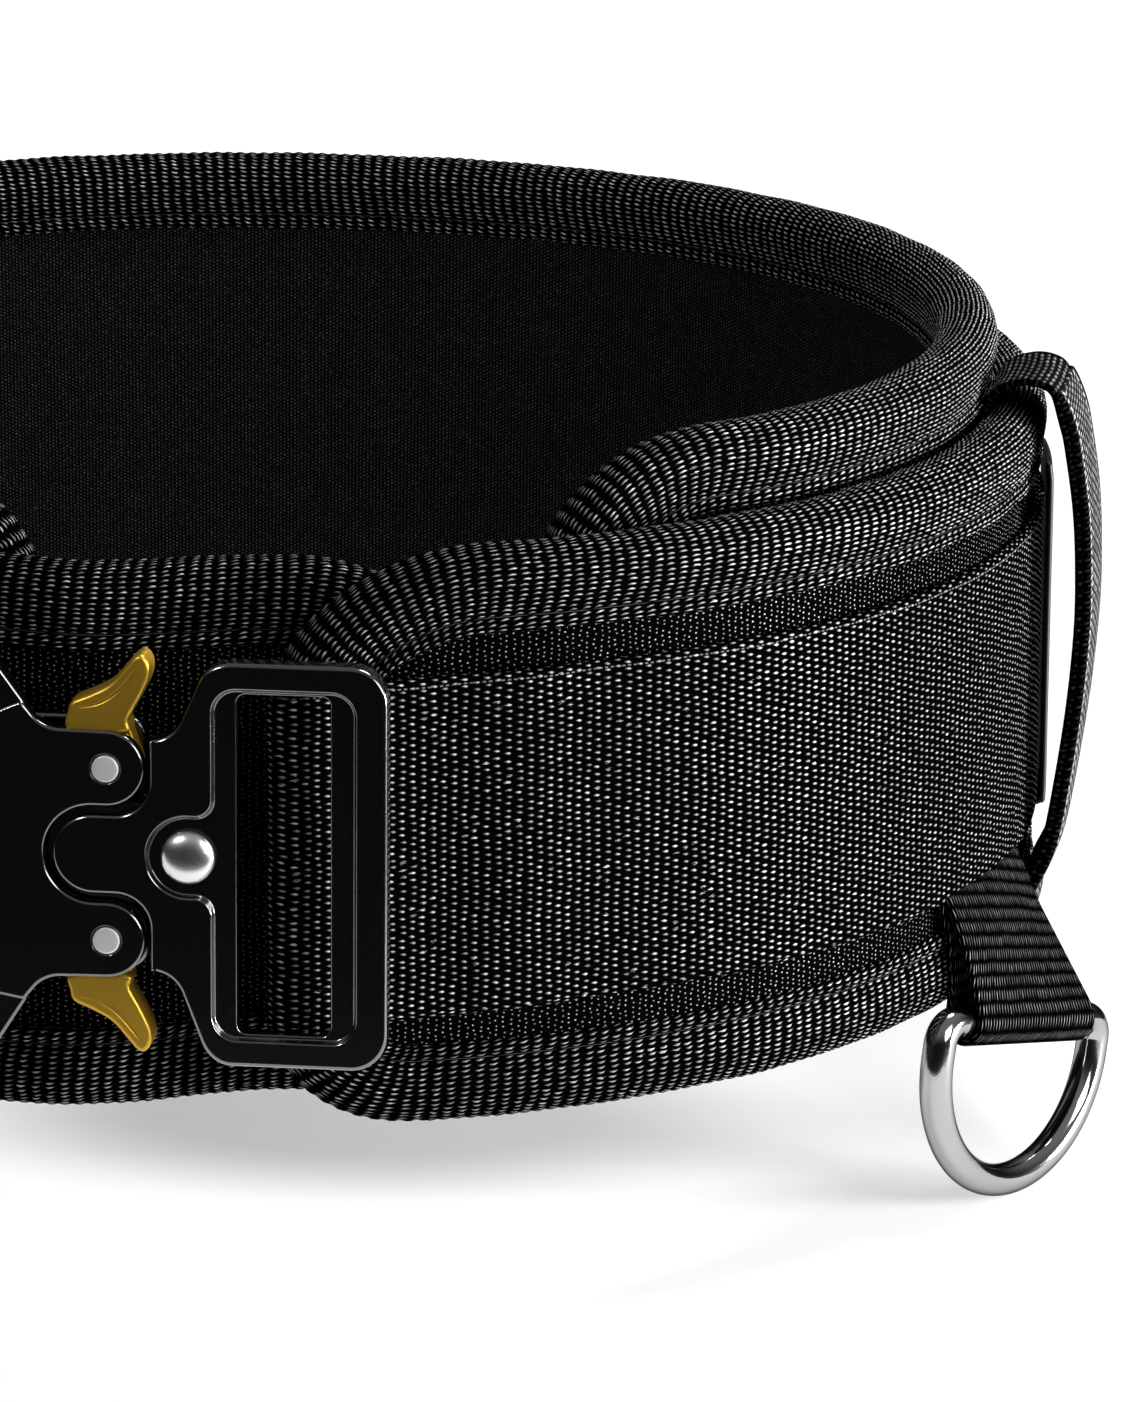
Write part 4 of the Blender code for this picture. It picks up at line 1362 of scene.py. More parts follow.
    def build_core(self) -> Object:
        """Make the quilted core: its two faces swell a little between the bound edges.

        Returns:
            The core, with UV u along the belt and v upwards, one metre on for the back.
        """
        straight = 0.0 * self.run(self.top_corner, self.core_step)[1:-1]
        quarter = np.linspace(0.0, math.pi / 2, self.corner_columns)
        along = np.concatenate((-np.cos(quarter), straight, np.cos(quarter[::-1])))
        upward = np.concatenate((np.sin(quarter), straight + 1.0, np.sin(quarter[::-1])))
        top_base, top_s, top_rise = self.core_edge(self.top_corner, along, upward)
        low_base, low_s, low_rise = self.core_edge(self.bottom_corner, along, upward)
        share = 0.5 - 0.5 * np.cos(np.linspace(0.0, math.pi, self.core_columns))[None, :]
        low_z = (self.bottom(low_base) - low_rise)[:, None]
        high_z = (self.top(top_base) + top_rise)[:, None]
        z = low_z + (high_z - low_z) * share
        s = low_s[:, None] + (top_s - low_s)[:, None] * share
        from_end = np.minimum(s - s[:1], s[-1:] - s) + 0.0004
        inside = np.minimum(np.minimum(z - low_z, high_z - z), from_end)
        puff = self.core_puff * ripple(s, z, self.core_wave, self.fill) * smooth(inside / self.core_swell)
        half = self.core_rim + (self.core_half - self.core_rim) * smooth(inside / self.core_taper)
        out = self.skin(s, z, half + puff)
        back = self.skin(s, z, -half + puff)[:, ::-1]
        u = np.concatenate((s, s[:, ::-1], s[:, :1]), axis=1)
        v = np.concatenate((z, z[:, ::-1] + 1.0, z[:, :1]), axis=1)
        points, uv = np.concatenate((out, back), axis=1), np.stack((u, v), axis=-1)
        return surface(f"{self.name}_core", points, uv, loop_columns=True, cap_ends=True)

    def build(self) -> None:
        """Build and dress the core and the binding; a core with an outer cloth has it on its outside."""
        core = self.build_core()
        dress(core, self.slot, "root", [self.name])
        if self.outer_cloth:
            cover_outside(core)
        edge = self.build_binding()
        dress(edge, "binding", "root", [f"{self.word}_binding"])


@dataclass
class OuterPad(Pad):
    """The outer layer: its right end lies over its left end, which dives inside as a flap."""

    top_z: float = 0.0450
    bottom_z: float = -0.0450
    flap_drop: float = 0.0037
    drop_blend: tuple[float, float] = (0.070, 0.110)
    flap_lift: float = 0.0030
    lift_blend: tuple[float, float] = (0.110, 0.090)
    dive: float = 0.0115
    dive_blend: tuple[float, float] = (0.009, 0.036)

    @staticmethod
    def blend(s: np.ndarray, reach: tuple[float, float]) -> np.ndarray:
        """Step smoothly from 0 to 1, from so far before the loop's end and over such a length."""
        return smooth((s - LOOP.length + reach[0]) / reach[1])

    def top(self, s: np.ndarray) -> np.ndarray:
        """Height of the top roll's centre, a little lower on the flap."""
        return self.top_z - self.flap_drop * self.blend(s, self.drop_blend)

    def bottom(self, s: np.ndarray) -> np.ndarray:
        """Height of the bottom roll's centre, a little higher on the flap."""
        return self.bottom_z + self.flap_lift * self.blend(s, self.lift_blend)

    def offset(self, s: np.ndarray, z: np.ndarray) -> np.ndarray:
        """Offset of the middle surface, which dives from the outside to the inside."""
        return OUTER_OFFSET - self.dive * self.blend(s, self.dive_blend) + 0.0 * z


# Wide strap

@dataclass
class WideStrap:
    """The webbing round the belt, whose ends turn round the buckle's bars and lie doubled."""

    half: float = STRAP_HALF
    thick: float = 0.0019
    roll_rise: float = 0.0020
    roll_blend: tuple[float, float] = (0.044, 0.010)
    tail: float = 0.062
    tail_from: float = 0.0435
    tail_blend: float = 0.016
    outside_from: float = 0.0500
    bar_y: float = -0.1552
    bar_radius: float = 0.0020
    step: float = 0.0016
    waver: float = 0.006
    wave: float = 0.06
    squeeze: float = 0.040
    squeeze_blend: tuple[float, float] = (0.018, 0.010)

    def lower(self, s: np.ndarray) -> np.ndarray:
        """Offset of the layer that lies on the pad: over the end roll first, then on the face."""
        base = OUTER_OFFSET + CORE_HALF + GAP + self.thick / 2
        return base + self.roll_rise * (1.0 - smooth((s - self.roll_blend[0]) / self.roll_blend[1]))

    def plan(self) -> np.ndarray:
        """Lay the middle line of the +X half in plan: the tail, the turn round the bar, the outside.

        Returns:
            Rows of x and y, from the tail to the belt's back.
        """
        tail = np.linspace(self.tail, self.tail_from, 8)
        turn = self.bar_radius + GAP + self.thick / 2
        angles = np.radians(np.linspace(105.0, 300.0, 24))
        wrap = np.stack((BAR_X + turn * np.cos(angles), self.bar_y + turn * np.sin(angles)), axis=-1)
        s = np.linspace(self.outside_from, LOOP.length / 2, 190)
        over = (self.thick + GAP) * (1.0 - smooth((s - self.tail) / self.tail_blend))
        doubled, outside = LOOP.place(tail, self.lower(tail)), LOOP.place(s, self.lower(s) + over)
        return np.concatenate((doubled, wrap, outside))

    def build(self) -> None:
        """Stand the middle line up between two wavering edges, give it its wall and dress it."""
        right = self.plan()
        plan = np.concatenate((right, right[-2::-1] * np.array([-1.0, 1.0])))
        length = arc_lengths(plan)
        at = np.linspace(0.0, length[-1], int(length[-1] / self.step))
        plan = resampled(plan, length, at)
        share = np.linspace(-1.0, 1.0, 31)
        from_end = np.minimum(at, at[-1] - at)
        width = 1.0 + self.waver * ripple(at, 0.0 * at, self.wave)
        narrow = smooth((from_end - self.squeeze_blend[0]) / self.squeeze_blend[1])
        width -= self.squeeze * (1.0 - narrow)
        z = self.half * share[None, :] * width[:, None]
        xy = np.broadcast_to(plan[:, None, :], (*z.shape, 2))
        middle = np.concatenate((xy, z[..., None]), axis=-1)
        dress(ribbon("wide_webbing", middle, self.thick), "webbing", "root", ["wide_strap"])


# Pieces at the belt's sides

@dataclass
class SideParts:
    """Keeper, side strap, ring tab and D-ring of one side of the belt."""

    side: Side
    roll_radius: float = 0.0056
    strap_thick: float = 0.0020
    keeper_shift: float = 0.0195
    keeper_width: float = 0.0190
    keeper_wall: float = 0.0013
    keeper_top: float = 0.0348
    keeper_bottom: float = -0.0318
    strap_shift: float = -0.0067
    strap_layer: float = 0.0015
    cover_from: int = 30
    tab_width: float = 0.0360
    tab_layer: float = 0.00125
    tab_from: float = -0.0600
    tab_to: float = -0.0270
    ring_wire: float = 0.0030
    ring_half: float = 0.0250
    ring_corner: float = 0.0040
    ring_shoulder: float = 0.0065
    ring_drop: float = 0.0298
    ring_centre: tuple[float, float, float] = (0.1512, -0.0496, -0.0558)
    ring_turn: float = math.radians(32.0)
    ring_tilt: float = math.radians(12.0)

    def to_side(self, points: np.ndarray) -> np.ndarray:
        """Mirror points made for the +X side if this is the other one."""
        return points * np.array([self.side.value, 1.0, 1.0])

    def band(self, name: str, line: np.ndarray, shift: float, width: float, thick: float) -> Object:
        """Make a strap that keeps its width along the belt, with its outer face first in the weave map.

        Args:
            name: The object's name.
            line: Rows of offset and height along the strap's middle line.
            shift: Arc length from the belt's side to the strap's middle.
            width: The strap's width along the belt.
            thick: Its thickness.

        Returns:
            The new object.
        """
        s = LOOP.side + shift + np.linspace(-0.5, 0.5, 15) * width
        flat = LOOP.place(s[None, :], line[:, :1])
        z = np.broadcast_to(line[:, 1:2], flat.shape[:2])
        middle = self.to_side(np.concatenate((flat, z[..., None]), axis=-1))
        return ribbon(name, middle if self.side is Side.RIGHT else middle[:, ::-1], thick)

    def build_keeper(self) -> Object:
        """Bend a smooth strip over the webbing: down from the roll, along the webbing, to the pad.

        Returns:
            The keeper.
        """
        over_roll = OUTER_OFFSET + self.roll_radius + GAP
        face = OUTER_OFFSET + CORE_HALF + self.strap_thick + 2 * GAP + self.keeper_wall / 2
        top, bottom = self.keeper_top, self.keeper_bottom
        line = through([
            (over_roll + 0.0006, top - 0.0004), (over_roll + 0.0008, top - 0.0024), (face, top - 0.0052),
            (face, 0.012), (face, -0.012), (face, bottom + 0.0030), (face - 0.0005, bottom + 0.0012),
            (over_roll - 0.0010, bottom + 0.0006),
        ], 8)
        name = f"keeper_{self.side.word}_strip"
        return self.band(name, line, self.keeper_shift, self.keeper_width, self.keeper_wall)

    def strap_line(self) -> np.ndarray:
        """Trace the side strap's outer face from its inner end down.

        Returns:
            Rows of offset and height.
        """
        return through([
            (0.0054, 0.0502), (0.0058, 0.0530), (0.0085, 0.0560), (0.0132, 0.0574), (0.0172, 0.0568),
            (0.0203, 0.0546), (0.0228, 0.0490), (0.0241, 0.0430), (0.0256, 0.0330), (0.0263, 0.0220),
            (0.0263, 0.0096), (0.0249, -0.0074), (0.0220, -0.0275), (0.0201, -0.0345), (0.0176, -0.0400),
            (0.0171, -0.0440),
        ], 6)

    def build_side_straps(self) -> tuple[Object, Object]:
        """Make the arching layer and the shorter layer sewn on its outside.

        Returns:
            The arch, which moves out by a layer where the cover ends, and the cover.
        """
        line, layer = self.strap_line(), self.strap_layer
        run = unit(np.gradient(line, axis=0))
        normal = np.stack((run[:, 1], -run[:, 0]), axis=-1)
        start = smooth((np.arange(len(line)) - self.cover_from + 6.0) / 12.0)
        under = line + normal * (layer / 2 + layer * start)[:, None]
        cover = (line + normal * layer / 2)[self.cover_from:]
        name = f"side_strap_{self.side.word}"
        arch = self.band(f"{name}_arch", under, self.strap_shift, ARCH_WIDTH, layer - 0.0001)
        return arch, self.band(f"{name}_cover", cover, self.strap_shift, COVER_WIDTH, layer)

    def ring_axes(self) -> tuple[np.ndarray, np.ndarray]:
        """Turn and tilt the bar, and let the D-ring hang square to it.

        Returns:
            The bar's direction and the direction in which the D-ring hangs.
        """
        turn, tilt = self.ring_turn, self.ring_tilt
        level = math.cos(tilt)
        bar = np.array([math.sin(turn) * level, math.cos(turn) * level, -math.sin(tilt)])
        down = np.array([0.0, 0.0, -1.0])
        return bar, unit(down - bar * (bar @ down))

    def build_ring(self) -> Object:
        """Carry a circle round the D: a straight bar, two tight corners and half an ellipse.

        Returns:
            The D-ring.
        """
        bar, hang = self.ring_axes()
        inner = self.ring_half - self.ring_corner
        rise = self.ring_drop - self.ring_shoulder
        turn = np.radians(np.linspace(0.0, -180.0, 91))
        bow = np.stack((self.ring_half * np.cos(turn), rise * np.sin(turn) - self.ring_shoulder), axis=-1)
        corner = arc(inner, -self.ring_corner, self.ring_corner, 90.0, 0.0, 12)
        other = arc(-inner, -self.ring_corner, self.ring_corner, 180.0, 90.0, 12)
        bar_run = np.stack((np.linspace(-inner, inner, 30)[1:-1], np.zeros(28)), axis=-1)
        flat = np.concatenate((bar_run, corner, bow, other))
        path = np.array(self.ring_centre) + flat[:, :1] * bar - flat[:, 1:] * hang
        return tube(f"ring_{self.side.word}", self.to_side(path), self.ring_wire, sides=28, closed=True)

    def build_tab(self) -> Object:
        """Rule the tab's band between its edges: down behind, round the ring's bar and up in front.

        Returns:
            The tab, with u from its lowest line.
        """
        bar, hang = self.ring_axes()
        layer = self.tab_layer
        turn = self.ring_wire + GAP + layer / 2
        out = np.cross(bar, hang)
        out *= np.sign(out[0])
        under = -STRAP_HALF - 0.5 * GAP
        rear = OUTER_OFFSET + CORE_HALF + 0.5 * GAP + layer / 2
        front = rear + layer + 0.5 * GAP
        clear = OUTER_OFFSET + self.roll_radius + GAP + layer / 2
        behind = [(rear, under), (rear + 0.0004, under - 0.0025), (clear, -0.0370),
                  (clear + 0.0004, -0.0450)]
        before = [(clear + 0.0032, -0.0385), (front + 0.0014, under - 0.0032), (front, under)]
        columns, lowest = [], []
        for share in np.linspace(0.0, 1.0, 29):
            s = LOOP.side + self.tab_from + (self.tab_to - self.tab_from) * share
            hub = np.array(self.ring_centre) + bar * (self.tab_width * (share - 0.5))
            down = [np.array((*LOOP.place(s, offset), z)) for offset, z in behind]
            up = [np.array((*LOOP.place(s, offset), z)) for offset, z in before]
            first = self.touch_angle(down[-1] - hub, out, hang, turn, 1.0)
            last = self.touch_angle(up[0] - hub, out, hang, turn, -1.0)
            wrap = np.linspace(first, last, 24)
            bend = [hub + turn * (out * math.cos(a) - hang * math.sin(a)) for a in wrap]
            line = np.array([*down, *bend, *up])
            fold = len(down) + (1.5 * math.pi - first) / (last - first) * (len(wrap) - 1)
            lowest.append(np.interp(fold, np.arange(len(line)), arc_lengths(line)))
            columns.append(eased(line, 150, 9))
        middle = self.to_side(np.stack(columns, axis=1))
        return ribbon(f"ring_tab_{self.side.word}_webbing", middle, layer, zero=np.array(lowest))

    @staticmethod
    def touch_angle(
        way: np.ndarray, out: np.ndarray, hang: np.ndarray, turn: float, side: float,
    ) -> float:
        """Return the angle where a line from a point outside touches the circle round the bar.

        Args:
            way: The point as seen from the circle's centre.
            out: The direction of angle 0.
            hang: The direction of angle 270 degrees.
            turn: The circle's radius.
            side: 1 for the touching point behind, -1 for the one in front.

        Returns:
            Angle in radians, between 90 and 450 degrees.
        """
        x, y = float(way @ out), float(-way @ hang)
        angle = math.atan2(y, x) + side * math.acos(min(1.0, turn / math.hypot(x, y)))
        low = math.pi / 2 if side > 0.0 else 3 * math.pi / 2
        return (angle - low) % (2 * math.pi) + low

    def build(self) -> None:
        """Build and dress this side's pieces."""
        word = self.side.word
        dress(self.build_keeper(), "keeper", "root", [f"keeper_{word}"])
        arch, cover = self.build_side_straps()
        dress(arch, "side_strap_arch", "root", [f"side_strap_{word}"])
        dress(cover, "side_strap", "root", [f"side_strap_{word}"])
        dress(self.build_tab(), "tab_webbing", "root", [f"ring_tab_{word}"])
        dress(self.build_ring(), "ring_chrome", f"ring_{word}", [f"d_ring_{word}"])


# Buckle

@dataclass
class Buckle:
    """The quick release buckle, in its own plane: x along the belt, z up, depth behind its face."""

    face: float = -0.1620
    frame_thick: float = 0.0046
    frame_x: float = 0.0496
    frame_half: float = 0.0351
    rise: float = 0.0012
    rise_blend: tuple[float, float] = (0.0125, 0.0095)
    frame_corner: float = 0.0062
    neck_half: float = 0.0202
    slot_x: tuple[float, float] = (0.0240, 0.0399)
    slot_half: float = 0.0296
    slot_corner: float = 0.0016
    inner_fillet: float = 0.0004
    recess_in: float = 0.0199
    recess_out: float = 0.0443
    recess_half: float = 0.0306
    recess_corner: float = 0.0042
    recess_depth: float = 0.0012
    rivet_x: float = 0.0158
    rivet_lobe: float = 0.0071
    rivet_neck: float = 0.0030
    rivet_radius: float = 0.0046
    rivet_dome: float = 0.0021
    pin_x: float = 0.0019
    pin_z: float = 0.0150
    pin_radius: float = 0.0023
    lobe_radius: float = 0.0066
    notch_radius: float = 0.0084
    boss_x: float = -0.0003
    boss_radius: float = 0.0069
    housing_plate: float = 0.0028
    housing_depth: float = 0.0107
    housing_in: float = -0.0237
    back_half: float = 0.0222
    spacer_half: float = 0.013
    spacer_out: float = -0.0203
    step: float = 0.00035
    ear_half: float = 0.0031
    ear_corner: float = 0.0008
    ear_sink: float = 0.0006
    ear_reach: tuple[float, float] = (0.0001, 0.0038)
    bar_depth: float = 0.0068
    tongue_head: float = 0.0120
    tongue_neck: float = 0.0089
    tongue_depths: tuple[float, float] = (0.0033, 0.0071)
    horn_depths: tuple[float, float] = (0.0006, 0.0070)
    horn_fillet: float = 0.00075
    groove_depth: float = 0.00058
    groove_radius: float = 0.00044
    groove_least: float = 0.00006
    hub_front: float = 0.0034
    hub_radius: float = 0.0056
    hub_fillet: float = 0.0003
    fillet: float = 0.00070

    def lifted(self, outline: np.ndarray) -> np.ndarray:
        """Lift the latch's part of an outline and blend into the strap frame's part, which stays."""
        share = 1.0 - smooth((np.abs(outline[:, :1]) - self.rise_blend[0]) / self.rise_blend[1])
        return outline + self.rise * share * np.array([0.0, 1.0])

    def raised(self, outline: np.ndarray) -> np.ndarray:
        """Lift the whole of an outline with the latch."""
        return outline + np.array([0.0, self.rise])

    def pin_height(self, level: Level) -> float:
        """Height of a lever's pin."""
        return level.value * self.pin_z + self.rise

    def slab(
        self, name: str, outline: np.ndarray, depths: tuple[float, float], fillet: float,
        holes: Sequence[np.ndarray] = (),
    ) -> Object:
        """Make a plate of the buckle between two depths behind its face."""
        return simple_plate(name, self.face, outline, *depths, fillet, holes)

    def slot(self, side: Side) -> np.ndarray:
        """Outline of the slot for the webbing."""
        rows = box_rows(self.slot_x, (self.slot_half, -self.slot_half), self.slot_corner)
        return rounded(rows) * np.array([side.value, 1.0])

    def recess(self, side: Side) -> np.ndarray:
        """Return the outline of the sunk field round the slot, with a lobe round the rivet.

        Args:
            side: The buckle's half; the left one has no rivet and no lobe.

        Returns:
            Rows of x and z.
        """
        upper = [(self.recess_out, 0.0, 0.0), (self.recess_out, self.recess_half, self.recess_corner),
                 (self.recess_in, self.recess_half, self.recess_corner)]
        flip = np.array([side.value, 1.0])
        if side is Side.LEFT:
            return both_halves(rounded([*upper, (self.recess_in, 0.0, 0.0)], closed=False)) * flip
        neck_x = self.recess_in - self.rivet_neck
        reach = math.sqrt((self.rivet_lobe + self.rivet_neck) ** 2 - (neck_x - self.rivet_x) ** 2)
        angle = math.degrees(math.atan2(reach, neck_x - self.rivet_x))
        bend = arc(neck_x, reach, self.rivet_neck, 0.0, angle - 180.0, 12)
        lobe = arc(self.rivet_x, 0.0, self.rivet_lobe, angle, 180.0, 30)
        top = rounded([*upper, (self.recess_in, reach + 0.003, 0.0)], closed=False)
        latch = self.raised(both_halves(np.concatenate((bend, lobe))[:-1]))
        low = (top * np.array([1.0, -1.0]))[::-1]
        return np.concatenate((top, latch, low[:-1])) * flip

    def strap_frame(self, name: str, outline: np.ndarray, side: Side, front: float) -> Object:
        """Make a strap frame: outer edge, sunk field and slot with round edges.

        Args:
            name: The object's name.
            outline: The outer edge.
            side: The buckle's half.
            front: Depth of the frame's flat front.

        Returns:
            The frame.
        """
        plate = Plate(name, self.face)
        floor = front + self.recess_depth
        first, last = plate.wall(outline, edge_steps(front, self.frame_thick, self.fillet))
        rim = [(0.00048, front), (0.00040, front), (0.00024, front + 0.00004), (0.00010, front + 0.00014),
               (0.0, front + 0.00032), (-0.00030, floor - 0.00022), (-0.00040, floor - 0.00008),
               (-0.00056, floor), (-0.00066, floor)]
        high, low = plate.wall(self.recess(side), rim)
        hole = edge_steps(floor, self.frame_thick, self.inner_fillet, side=1.0)
        front_hole, back_hole = plate.wall(self.slot(side), hole)
        for rings in ((first, high), (low, front_hole), (last, back_hole)):
            plate.fill(*rings)
        return plate.build()

    def ears(self, name: str, side: Side) -> list[Object]:
        """Make the two ears behind a frame that carry the strap's bar.

        Args:
            name: First part of the objects' names.
            side: The buckle's half.

        Returns:
            The upper and the lower ear.
        """
        made = []
        x = [side.value * (BAR_X + half) for half in (-self.ear_half, self.ear_half)]
        depths = (self.frame_thick - self.ear_sink, self.bar_depth + self.ear_half)
        for level in Level:
            z = [level.value * (self.slot_half + reach) for reach in self.ear_reach]
            outline = rounded(box_rows(x, z, self.ear_corner))
            made.append(self.slab(f"{name}_{level.word}", outline, depths, self.inner_fillet))
        return made

    def build_frame(self) -> Object:
        """Make the right half: strap frame, neck and boss, and the tongue behind the left half.

        Returns:
            The half in one mesh.
        """
        boss = arc(self.boss_x, 0.0, self.boss_radius, 180.0, 92.0, 24)
        rows = [(0.0006, self.boss_radius, 0.0), (0.0094, self.boss_radius, 0.0060),
                (0.0094, self.neck_half, 0.0004), (0.0133, self.neck_half, 0.0058),
                (0.0194, self.frame_half, 0.0058), (self.frame_x, self.frame_half, self.frame_corner),
                (self.frame_x, 0.0, 0.0)]
        outline = self.lifted(both_halves(np.concatenate((boss, rounded(rows, closed=False)[:-1]))))
        frame = self.strap_frame("frame_face", outline, Side.RIGHT, 0.0)
        head, neck = self.tongue_head, self.tongue_neck
        upper = [(0.0200, neck, 0.0010), (-0.0083, neck, 0.0008),
                 (-0.0083, head, 0.0010), (-0.0197, head, 0.0030)]
        rows = upper + [(x, -z, radius) for x, z, radius in upper[::-1]]
        tongue = self.slab("tongue", self.lifted(rounded(rows, 8)), self.tongue_depths, self.inner_fillet)
        return joined("buckle_frame_body", [frame, tongue, *self.ears("frame_ear", Side.RIGHT)])

    def housing_outline(self) -> np.ndarray:
        """Trace the left half's front plate, which ends in a step on the strap frame.

        Returns:
            Rows of x and z.
        """
        lobe = arc(self.pin_x, self.pin_z, self.lobe_radius, 90.0, -90.0, 40)
        notch = arc(self.boss_x, 0.0, self.notch_radius, 88.0, 180.0, 30)
        rows = [(-0.0189, 0.0, 0.0), (-0.0189, 0.0242, 0.0030), (-0.0123, 0.0262, 0.0008),
                (-0.0088, 0.0218, 0.0060), (self.pin_x, self.pin_z + self.lobe_radius, 0.0)]
        return self.lifted(both_halves(np.concatenate((rounded(rows, closed=False), lobe[1:], notch))))

    def build_housing(self) -> Object:
        """Make the left half: front plate, strap frame, spacer and back plate.

        Returns:
            The half in one mesh.
        """
        hole = self.pin_radius + GAP
        holes = [arc(self.pin_x, self.pin_height(level), hole, 0.0, 360.0, 40)[:-1] for level in Level]
        depths = (0.0, self.housing_plate)
        plate = self.slab("front_plate", self.housing_outline(), depths, self.fillet, holes)
        rows = [(-self.frame_x, 0.0, 0.0), (-self.frame_x, self.frame_half, self.frame_corner),
                (-0.0180, self.frame_half, 0.0055), (-0.0120, 0.0262, 0.0012), (-0.0100, 0.0200, 0.0010),
                (-0.0100, 0.0, 0.0)]
        outline = self.lifted(both_halves(rounded(rows, closed=False)))
        frame = self.strap_frame("left_frame", outline, Side.LEFT, self.step)
        back_at = self.housing_depth - self.housing_plate
        high = self.back_half
        rows = [(self.housing_in, high, 0.0015), (0.0078, high, 0.0040),
                (0.0078, -high, 0.0040), (self.housing_in, -high, 0.0015)]
        outline = self.raised(rounded(rows))
        back = self.slab("back_plate", outline, (back_at, self.housing_depth), self.fillet, holes)
        rows = box_rows((self.housing_in, self.spacer_out), (self.spacer_half, -self.spacer_half), 0.0004)
        outline = self.raised(rounded(rows, 4))
        spacer = self.slab("spacer", outline, (0.0020, back_at + 0.0005), 0.0002)
        ears = self.ears("housing_ear", Side.LEFT)
        return joined("buckle_housing_body", [plate, frame, back, spacer, *ears])

    def build_lever(self, level: Level) -> Object:
        """Make a release lever: a horn with a groove along its back, and the hub under the plate.

        Args:
            level: Which of the two levers.

        Returns:
            The lever in one mesh.
        """
        flip = np.array([1.0, level.value])
        horn = [(-0.0042, 0.0212), (-0.0045, 0.0246), (-0.0037, 0.0263), (-0.0008, 0.0276), (0.0026, 0.0295),
                (0.0053, 0.0325), (0.0069, 0.0343), (0.0082, 0.0346), (0.0093, 0.0331), (0.0092, 0.0305),
                (0.0075, 0.0268), (0.0057, 0.0235), (0.0053, 0.0212)]
        outline = self.raised(through(horn, 6, closed=True) * flip)
        outer = self.slab("horn", outline, self.horn_depths, self.horn_fillet)
        line = through([(-0.0026, 0.0252), (0.0010, 0.0262), (0.0042, 0.0285), (0.0072, 0.0322)], 8)
        line = self.raised(line * flip)
        y = np.full(len(line), self.face + self.groove_depth)
        groove = np.stack((line[:, 0], y, line[:, 1]), axis=-1)
        fade = np.sin(np.linspace(0.12, math.pi - 0.12, len(line))) ** 0.5
        radius = self.groove_radius * fade + self.groove_least
        carved(outer, tube("groove", groove, radius, sides=12))
        hub = np.concatenate((
            [(-0.0038, 0.0240), (-0.0044, 0.0160), (-0.0065, 0.0135), (-0.0065, 0.0096), (-0.0015, 0.0100)],
            arc(self.pin_x, self.pin_z, self.hub_radius, -110.0, 20.0, 20), [(0.0046, 0.0240)],
        ))
        depths = (self.hub_front, self.housing_depth - self.housing_plate - GAP)
        hub = self.slab("hub", self.raised(hub * flip), depths, self.hub_fillet)
        lever = joined(f"lever_{level.word}_body", [outer, hub])
        lever.data.shade_smooth()
        lever.data.set_sharp_from_angle(angle=math.radians(PLATE_SHARP))
        return lever

    def build_pin(self, level: Level) -> Object:
        """Turn a flat-headed pin that stands a little proud of the plate.

        Args:
            level: Which lever it belongs to.

        Returns:
            The pin.
        """
        r, top, back = self.pin_radius, -0.0003, self.housing_depth + GAP
        profile = np.array([
            (0.0, top), (0.4 * r, top), (0.8 * r, top + 0.00001), (r - 0.00018, top + 0.00003),
            (r - 0.00005, top + 0.00010), (r, top + 0.00024), (r, back - 0.0001), (r - 0.0002, back),
            (0.0, back),
        ])
        centre = (self.pin_x, self.face, self.pin_height(level))
        return turned(f"pin_{level.word}_body", profile, centre)

    def build_rivet(self) -> Object:
        """Turn the domed rivet: a quarter of an ellipse, then the shank and the far head.

        Returns:
            The rivet.
        """
        seat = self.recess_depth - GAP
        a = np.radians(np.linspace(0.0, 90.0, 18))
        depth = seat - 0.0004 - self.rivet_dome * np.cos(a)
        dome = np.stack((self.rivet_radius * np.sin(a), depth), axis=-1)
        rest = [(self.rivet_radius, seat), (0.0020, seat + 0.0002), (0.0020, 0.0074), (0.0036, 0.0074),
                (0.0036, 0.0081), (0.0, 0.0082)]
        centre = (self.rivet_x, self.face, self.rise)
        return turned("rivet_body", np.concatenate((dome, rest)), centre, sides=64)

    def build(self) -> None:
        """Build and dress the buckle's halves, levers, pins and rivet."""
        dress(self.build_frame(), "buckle_black", "root", ["buckle_frame"])
        dress(self.build_housing(), "buckle_black", "root", ["buckle_housing"])
        for level in Level:
            lever = f"lever_{level.word}"
            dress(self.build_lever(level), "lever_gold", lever, [lever])
            dress(self.build_pin(level), "pin_steel", "root", [f"lever_pin_{level.word}"])
        dress(self.build_rivet(), "rivet_steel", "root", ["frame_rivet"])

    @staticmethod
    def paint_bars(frame: dict) -> None:
        """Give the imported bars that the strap's ends turn round the buckle's finish.
        """
        for side in Side:
            bar = frame["nodes"][f"strap_bar_{side.word}"]
            bar.data.materials.clear()
            bar.data.materials.append(paint_for("buckle_black"))


# Room

